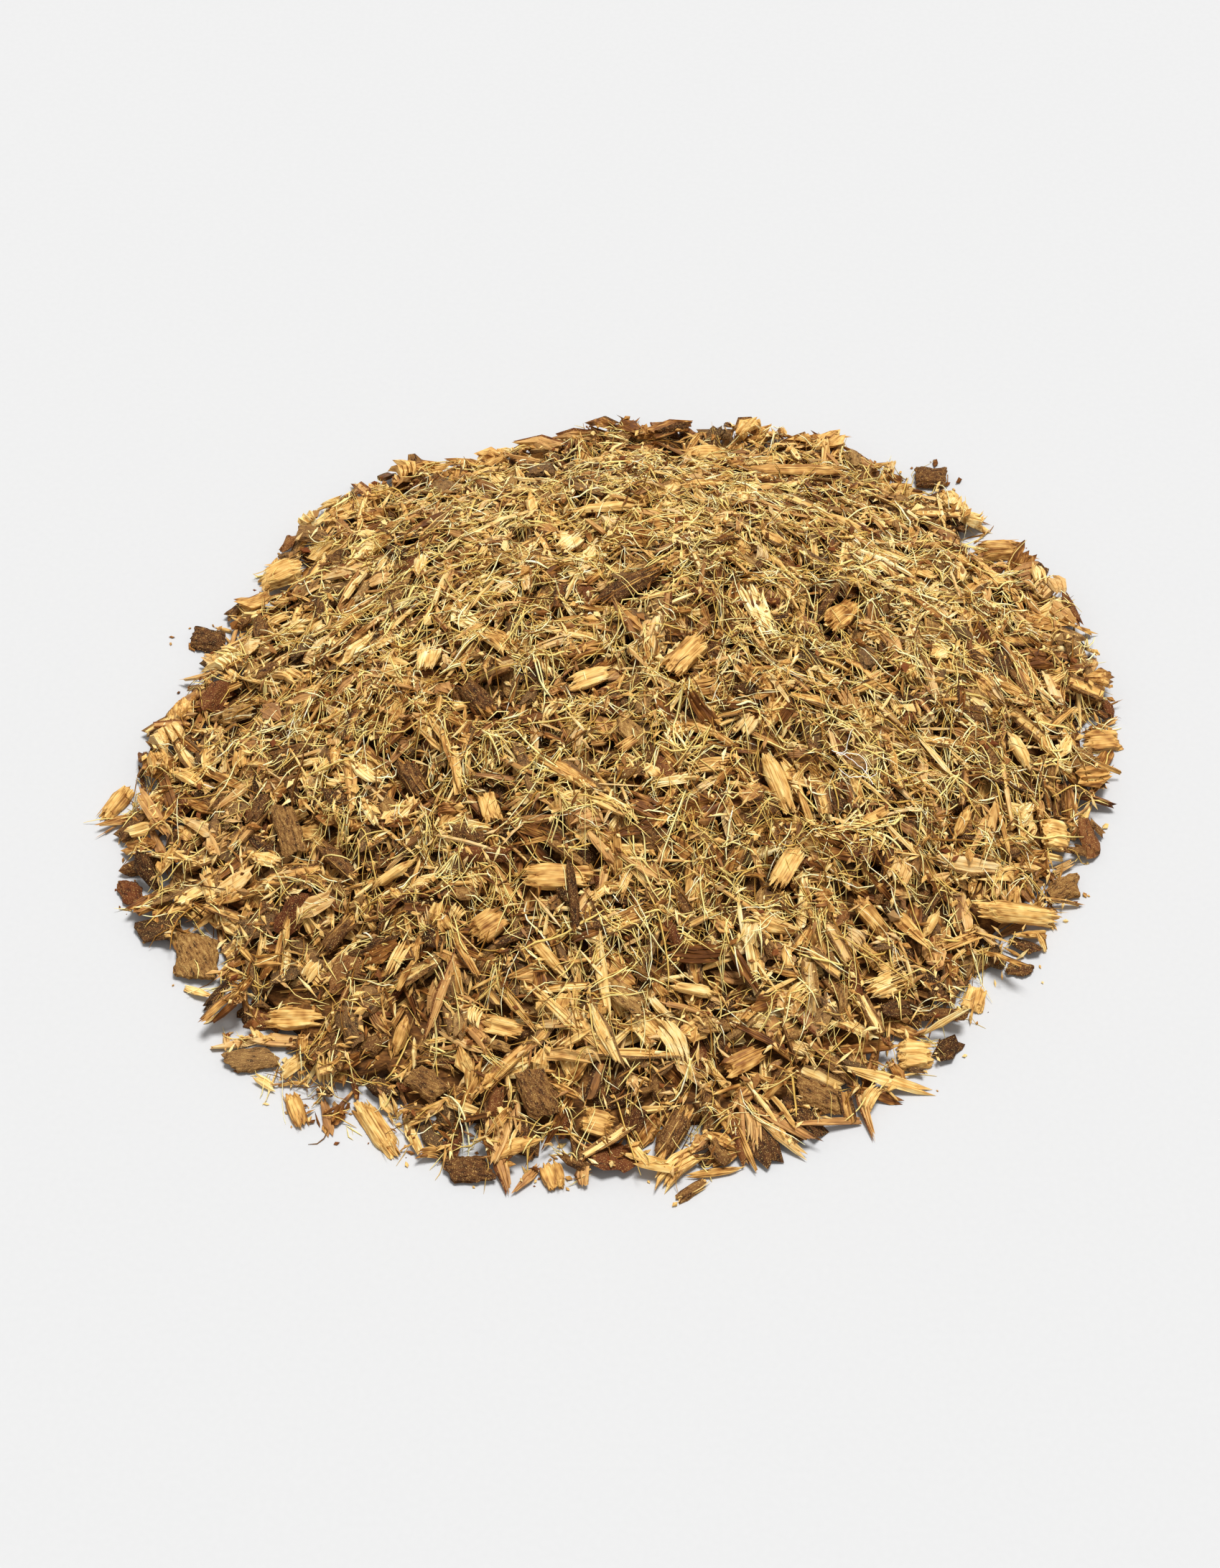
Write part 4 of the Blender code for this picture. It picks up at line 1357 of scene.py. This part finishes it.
KIND_LOOKS = {  # finish, slot, name and number of pieces
    "torn": ("pale_wood", "pale_wood", "torn_shreds", 4),
    "cut": ("barked_wood", "pale_wood", "cut_shreds", 3),
    "bark": ("dark_bark", "dark_bark", "bark_shreds", 2),
    "stick": ("barked_wood", "barked_wood", "stick_shreds", 1),
    "splinter": ("yellow_wood", "yellow_wood", "splinter_shreds", 1),
    "crumb": ("crumb", "shreds", "crumbs", 1),
    "sliver": ("pale_wood", "pale_wood", "slivers", 2),
}
strewn = {}
for kind, (finish, slot, title, parts) in KIND_LOOKS.items():
    for part in range(parts):
        name = title if parts == 1 else f"{title}_{part + 1}"
        strewn[name] = (strew(name, kind, finish, shreds[kind][part::parts]), slot)
        print(name, "faces:", len(strewn[name][0].data.polygons))

# %% [markdown]
# ## Fibres with Geometry Nodes
# A fibre could be a strip that always faces the camera, but it would vanish from the side. So a second
# tree turns every line into a curve, gives it its radius and sweeps a profile along it. Three sides are
# enough for something that is a pixel or two wide, and more than ten thousand fibres stay light.

# %% Fibre tree
FIBRE_SIDES = 3
FIBRE_SQUARE = 0.85


def fibre_tree():
    """Sweeps a profile along every line, as thick as the line's notes say."""
    kinds = {"Sides": "NodeSocketInt", "Finish": "NodeSocketMaterial", "Square": "NodeSocketVector"}
    net, given = open_tree("spin fibres", kinds)
    curve = net.add("GeometryNodeMeshToCurve", {"Mesh": given["Geometry"]})
    curve = store(net, curve, "along", net.add("GeometryNodeSplineParameter"), "FLOAT")
    profile = net.add("GeometryNodeCurvePrimitiveCircle", {"Resolution": given["Sides"], "Radius": 1.0})
    profile = store(net, profile, "round", net.add("GeometryNodeSplineParameter"), "FLOAT")
    thick = noted(net, "thick", "FLOAT")
    sweep = {"Curve": curve, "Profile Curve": profile, "Scale": thick, "Fill Caps": True}
    tube = net.add("GeometryNodeCurveToMesh", sweep)
    spot = {"X": noted(net, "along", "FLOAT"), "Y": noted(net, "round", "FLOAT")}
    spot = net.vectors("MULTIPLY", net.add("ShaderNodeCombineXYZ", spot), given["Square"])
    tube = store(net, tube, MAP_NAME, net.vectors("ADD", spot, noted(net, "corner")), "FLOAT2", "CORNER")
    tube = net.add("GeometryNodeRealizeInstances", {"Geometry": tube})
    return close_tree(net, tube, given["Finish"])


def spin(name, lines, radii, tones):
    """One object of many fibres. Their squares of the map are three times as wide as they are high."""
    count, knots = lines.shape[:2]
    side = math.ceil(math.sqrt(count / 3))
    order = np.repeat(np.arange(count), knots)
    first = np.arange(count * knots).reshape(count, knots)
    edges = np.stack([first[:, :-1], first[:, 1:]], axis=-1).reshape(-1, 2)
    corner = np.stack([order % side / side, order // side / (3 * side), 0 * order], axis=-1)
    notes = (
        ("thick", "FLOAT", radii),
        ("tone", "FLOAT", np.repeat(tones, knots)),
        ("corner", "FLOAT_VECTOR", corner),
    )
    mesh = point_mesh(name, lines.reshape(-1, 3), edges, notes)
    square = (FIBRE_SQUARE / side, FIBRE_SQUARE / (3 * side), 0)
    made = run_tree(name, mesh, FIBRES, {"Sides": FIBRE_SIDES, "Finish": FINISHES["fibre"], "Square": square})
    made.data.shade_smooth()
    return made


FIBRES = fibre_tree()
for name, (lines, radii, tones) in fibre_sets.items():
    strewn[name] = (spin(name, lines, radii, tones), "yellow_wood")
    print(name, "faces:", len(strewn[name][0].data.polygons))

# %% [markdown]
# ## The large pieces
# The large pieces are real planks, sticks and plates of bark, close enough to the eye to need worn
# surfaces. Sculpting 58 of them by hand would take days. Instead each starts as a copy of its solid, and
# remeshing gives it small even faces, finer across the grain than along it. Then every point moves a
# little: ridges along the grain, and at the two ends each strand breaks off at its own length. Thin
# strands lie along the top and stand out of the torn ends. Bark gets furrows and a broken outline
# instead.

# %% Remeshing a solid
LOOKS = {
    # kind: squeeze along the grain, face size, ridge height, strands for each millimetre of width,
    # mean tone, its spread, slot
    "wood_chip": (0.45, 0.27, 0.13, 1.1, 0.45, 0.08, "pale_wood"),
    "splinter": (0.40, 0.22, 0.11, 1.6, 0.54, 0.08, "yellow_wood"),
    "root_stick": (0.50, 0.27, 0.16, 0.9, 0.46, 0.12, "barked_wood"),
    "fibre_tuft": (0.55, 0.26, 0.20, 6.0, 0.64, 0.05, "cream_fibre"),
    "bark_flake": (0.80, 0.30, 0.34, 0.0, 0.36, 0.16, "dark_bark"),
}
KIND_END = -3  # the name of a piece without its number


def own_axes(points):
    """The middle of a piece and its own directions: along its length, across it and up."""
    middle = points.mean(axis=0)
    along, across, up = (Vector(a) for a in np.linalg.svd(points - middle)[2])
    up = up if up.z > 0 else -up
    return Vector(middle), Matrix((along, up.cross(along), up)).transposed()


def remeshed(node, squeeze, face):
    """The solid's mesh in its own directions after remeshing, with its middle and turn."""
    bm = bmesh.new()
    bm.from_mesh(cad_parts[node].data)
    bmesh.ops.remove_doubles(bm, verts=bm.verts, dist=1e-6)
    middle, turn = own_axes(np.array([v.co for v in bm.verts]))
    squash = Matrix.Diagonal((squeeze, 1, 1)).to_4x4()
    bm.transform(squash @ turn.transposed().to_4x4() @ Matrix.Translation(-middle))
    mesh = bpy.data.meshes.new(node)
    bm.to_mesh(mesh)
    bm.free()
    rough = stand("rough", mesh)
    remesh = rough.modifiers.new("even faces", "REMESH")
    remesh.mode = "VOXEL"
    remesh.voxel_size = face * MM
    graph = bpy.context.evaluated_depsgraph_get()
    fine = bpy.data.meshes.new_from_object(rough.evaluated_get(graph))
    bpy.data.objects.remove(rough)
    fine.transform(Matrix.Diagonal((1 / squeeze, 1, 1)).to_4x4())
    return fine, middle, turn


print("kinds of large piece:", ", ".join(LOOKS))

# %% Wear of wood and bark
PLANK_HALF_WIDTH = 1.2 * MM
PLANK_FLARE = 0.30


def noise_at(x, y, z):
    return noise.noise(Vector((x, y, z)))


def wood_wear(p, normal, half, wide, ridge, seed):
    """Where a point of a wooden piece moves: ridges along the grain, and uneven ends."""
    q = p / MM
    far_end = 9 if p.x > 0 else 0
    coarse = noise_at(q.x * 0.10, q.y * 1.3, q.z * 1.3 + seed)
    fine = noise_at(q.x * 0.22, q.y * 2.7, q.z * 2.7 + seed)
    moved = p + normal * ridge * (coarse + 0.55 * fine) * MM
    near_end = max(0.0, abs(p.x) / half - 0.45) / 0.55
    torn = abs(noise_at(seed, q.y * 1.1, q.z * 0.6 + far_end))
    torn += 0.4 * abs(noise_at(seed, q.y * 2.4, q.z * 1.5 + far_end))
    moved.x -= math.copysign(near_end * min(1.0, 2.2 * torn) * min(0.45 * half, 3.2 * MM), p.x)
    flare = PLANK_FLARE if wide > PLANK_HALF_WIDTH else 0.0
    flare -= 0.35 * abs(math.sin(seed + (p.x > 0)))
    moved.y *= 1 + 0.26 * noise_at(q.x * 0.22, seed, 0) + flare * near_end
    return moved


def bark_wear(p, normal, half, wide, ridge, seed):
    """Where a point of a bark piece moves: furrowed faces, squarer corners and a ragged outline."""
    turn = 0.5 * math.sin(seed)
    x, y = p.x / half, p.y / wide
    a = math.cos(turn) * x + math.sin(turn) * y, math.cos(turn) * y - math.sin(turn) * x
    square = (math.hypot(*a) / max(abs(a[0]), abs(a[1]), 1e-6)) ** 0.8
    p = Vector((p.x * square, p.y * square, p.z))
    q = p / MM
    furrow = -abs(noise_at(q.x * 0.35, q.y * 1.5, q.z + seed))
    grit = noise_at(q.x * 1.3, q.y * 2.4, q.z * 2.4 + seed)
    outline = noise_at(q.x * 0.30, q.y * 0.30, seed) + 0.8 * noise_at(q.x * 1.1, q.y * 1.1, seed + 5)
    edge = max(0.0, 1 - abs(normal.z) * 1.6)
    return p + normal * (ridge * (0.9 * furrow + 0.45 * grit) + edge * (outline - 0.3)) * MM


print("wear ready for planks wider than", 2 * PLANK_HALF_WIDTH / MM, "mm and for narrower pieces")

# %% Strands on a large piece
STRAND_CORNERS = math.pi * 1.17, -math.pi / 6, math.pi / 2
STRAND_STEPS = 0, 0.12, 0.45, 0.75, 1


def strand(form, line, radius):
    """Adds a thin three-sided strand along a line of points."""
    rings = []
    for before, here, after in zip(line, line[1:], line[2:]):
        axis = (after - before).normalized()
        side = axis.cross(Vector((0, 0, 1))).normalized()
        up = side.cross(axis)
        rings.append([tuple(here + radius * (math.cos(t) * side + math.sin(t) * up)) for t in STRAND_CORNERS])
    form.tube(rings, (tuple(line[0]), tuple(line[-1])), [NO_SKIN] * 3)


def top_strands(form, fine, count, half, wide, rng):
    """Strands that lie along the top of a piece and run out past one of its ends."""
    tree = tree_of(fine)
    for _ in range(count):
        side = rng.choice((-1, 1))
        y, fan, lift = rng.uniform(-0.9, 0.9) * wide, rng.normal(0, 0.10), abs(rng.normal(0, 0.12))
        start, end = rng.uniform(-0.7, 0.35) * half, rng.uniform(0.75, 1.12) * half
        line, z = [], None
        for share in STRAND_STEPS:
            x = start + share * (end - start)
            py = y + (fan + 0.08 * y / wide) * max(0.0, x - 0.5 * half)
            found = height_from_above(tree, side * x, py)
            z = found if found is not None and x < 0.8 * half else z
            if z is None:
                break
            line.append(Vector((side * x, py, z + lift * max(0.0, x - 0.7 * half) - 0.02 * MM)))
        if len(line) == len(STRAND_STEPS):
            strand(form, line, rng.uniform(0.09, 0.17) * MM)


print("points in a strand's line:", len(STRAND_STEPS))

# %% Refine the large pieces
LUCK_OF = {"bark_flake_04": 0.1, "bark_flake_09": 0.1, "bark_flake_10": 0.95}
SPLIT_FACE_UP = [f"root_stick_{k:02d}" for k in (1, 3, 4, 9, 10, 12, 13, 14)]
TONE_OF = {
    "bark_flake_02": 0.25, "bark_flake_03": 0.65, "bark_flake_04": 0.60, "bark_flake_05": 0.50,
    "bark_flake_07": 0.55, "bark_flake_08": 0.60, "bark_flake_10": 0.20, "bark_flake_11": 0.30,
    "bark_flake_12": 0.20, "bark_flake_13": 0.25, "root_stick_02": 0.45, "root_stick_05": 0.90,
    "root_stick_06": 0.25, "root_stick_07": 0.35, "root_stick_08": 0.30, "root_stick_16": 0.35,
}


def refine(node, seed):
    """The finished mesh of a large piece."""
    squeeze, face, ridge, strands, mean, spread, slot = LOOKS[node[:KIND_END]]
    rng = np.random.default_rng(seed)
    fine, middle, turn = remeshed(node, squeeze, face)
    half = max(abs(v.co.x) for v in fine.vertices)
    wide = max(abs(v.co.y) for v in fine.vertices)
    move = bark_wear if slot == "dark_bark" else wood_wear
    barked = slot == "barked_wood" and node not in SPLIT_FACE_UP
    form = Form()
    form.points = [tuple(move(v.co, v.normal, half, wide, ridge, 3.7 * seed)) for v in fine.vertices]
    form.faces = [tuple(p.vertices) for p in fine.polygons]
    form.skin = [float(barked and v.normal.z > -0.35 and abs(v.co.x) < 0.93 * half) for v in fine.vertices]
    body = len(form.points)
    top_strands(form, fine, int(strands * 2 * wide / MM), half, wide, rng)
    local = np.array(form.points)
    tone = np.clip(TONE_OF.get(node, rng.normal(mean, spread)), 0.05, 1.0)
    luck = LUCK_OF.get(node, rng.uniform(0.32, 0.70))
    tones = np.full(len(local), tone)
    tones[body:] = np.clip(tone + 0.08, 0, 1)
    placed = [middle + turn @ Vector(p) for p in local]
    mesh = bpy.data.meshes.new(node)
    mesh.from_pydata([(p.x, p.y, max(p.z, FLOOR_GAP)) for p in placed], [], form.faces)
    write_note(mesh, "grain", "FLOAT_VECTOR", local / MM + 31.0 * seed)
    for label, values in (("skin", form.skin), ("tone", tones), ("luck", np.full(len(local), luck))):
        write_note(mesh, label, "FLOAT", values)
    mesh.materials.append(FINISHES[slot])
    return mesh


refined = {node: stand(f"{node}_worn", refine(node, seed)) for seed, node in enumerate(LARGE, 1)}
print("large pieces:", len(refined), "faces:", sum(len(o.data.polygons) for o in refined.values()))

# %% [markdown]
# ## The floor and the light
# The photograph has a plain pale ground and soft light from nearly overhead, a little from behind and
# from the right, which leaves warm dark gaps between the shreds. Area lamps would light the near floor
# more than the far one, so a wide sun does it, and a pale sky fills the shadows. The floor is a light
# grey under a strong light, so that it comes out as pale as in the photograph while the shreds keep their
# contrast.

# %% Floor and light
SUN_FROM = Vector((0.13, 0.09, 1.0))
SUN_POWER = 3.68
SUN_ANGLE = math.radians(18)
SKY_POWER = 0.48
FLOOR_GREY = 194
FLOOR_REACH = 12.0
FLOOR_DROP = -0.05 * MM


def sun_lamp():
    made = stand("key", bpy.data.lights.new("key", "SUN"))
    made.data.energy = SUN_POWER
    made.data.angle = SUN_ANGLE
    made.location = SUN_FROM
    made.rotation_euler = SUN_FROM.to_track_quat("Z", "Y").to_euler()


def sky():
    world = bpy.data.worlds.new("studio")
    world.use_nodes = True
    world.node_tree.nodes["Background"].inputs["Strength"].default_value = SKY_POWER
    world.node_tree.nodes["Background"].inputs["Color"].default_value = (1.0, 1.0, 1.0, 1.0)
    bpy.context.scene.world = world


def paper_hue(net, tooth):
    return net.mix(tooth, shade(*[FLOOR_GREY - 1] * 3), shade(*[FLOOR_GREY + 1] * 3))


def pale_floor():
    paper = fine_finish("pale paper", paper_hue, (900, 900, 900), (0.9, 0.1), 0.01 * MM, gloss=0.0)
    mesh = bpy.data.meshes.new("floor")
    corners = ((-1, -1), (1, -1), (1, 1), (-1, 1))
    mesh.from_pydata([(x * FLOOR_REACH, y * FLOOR_REACH, 0) for x, y in corners], [], [(0, 1, 2, 3)])
    mesh.materials.append(paper)
    made = stand("floor", mesh)
    made.location.z = FLOOR_DROP
    return made


sun_lamp()
sky()
bpy.context.scene.view_settings.view_transform = "Standard"
pale_floor()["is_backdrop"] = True

# %% [markdown]
# ## Joining the model
# The heap is one body, so every piece rides on it, and the solids that the pieces replace are hidden.
# Pieces could be joined into fewer objects, but separate ones can still be picked and looked at alone.

# %% Ride, replace and check sizes
bed = stand("packed_shreds", bed_mesh)
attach(bed, "root")
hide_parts("shred_heap")
for name, (made, slot) in strewn.items():
    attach(made, "root")
for node, made in refined.items():
    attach(made, "root")
    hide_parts(node)

triangles = {o.name: sum(len(p.vertices) - 2 for p in o.data.polygons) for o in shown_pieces()}
most = max(triangles.values())
print("pieces:", len(triangles), "triangles:", sum(triangles.values()), "most in one:", most)
sizes = {"cad": [list(p) for p in CAD_BOX], "visual": [list(p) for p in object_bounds()]}
grown = [[round((b - a) / MM, 2) for a, b in zip(p, q)] for p, q in zip(sizes["cad"], sizes["visual"])]
print("grown by, in mm:", grown)
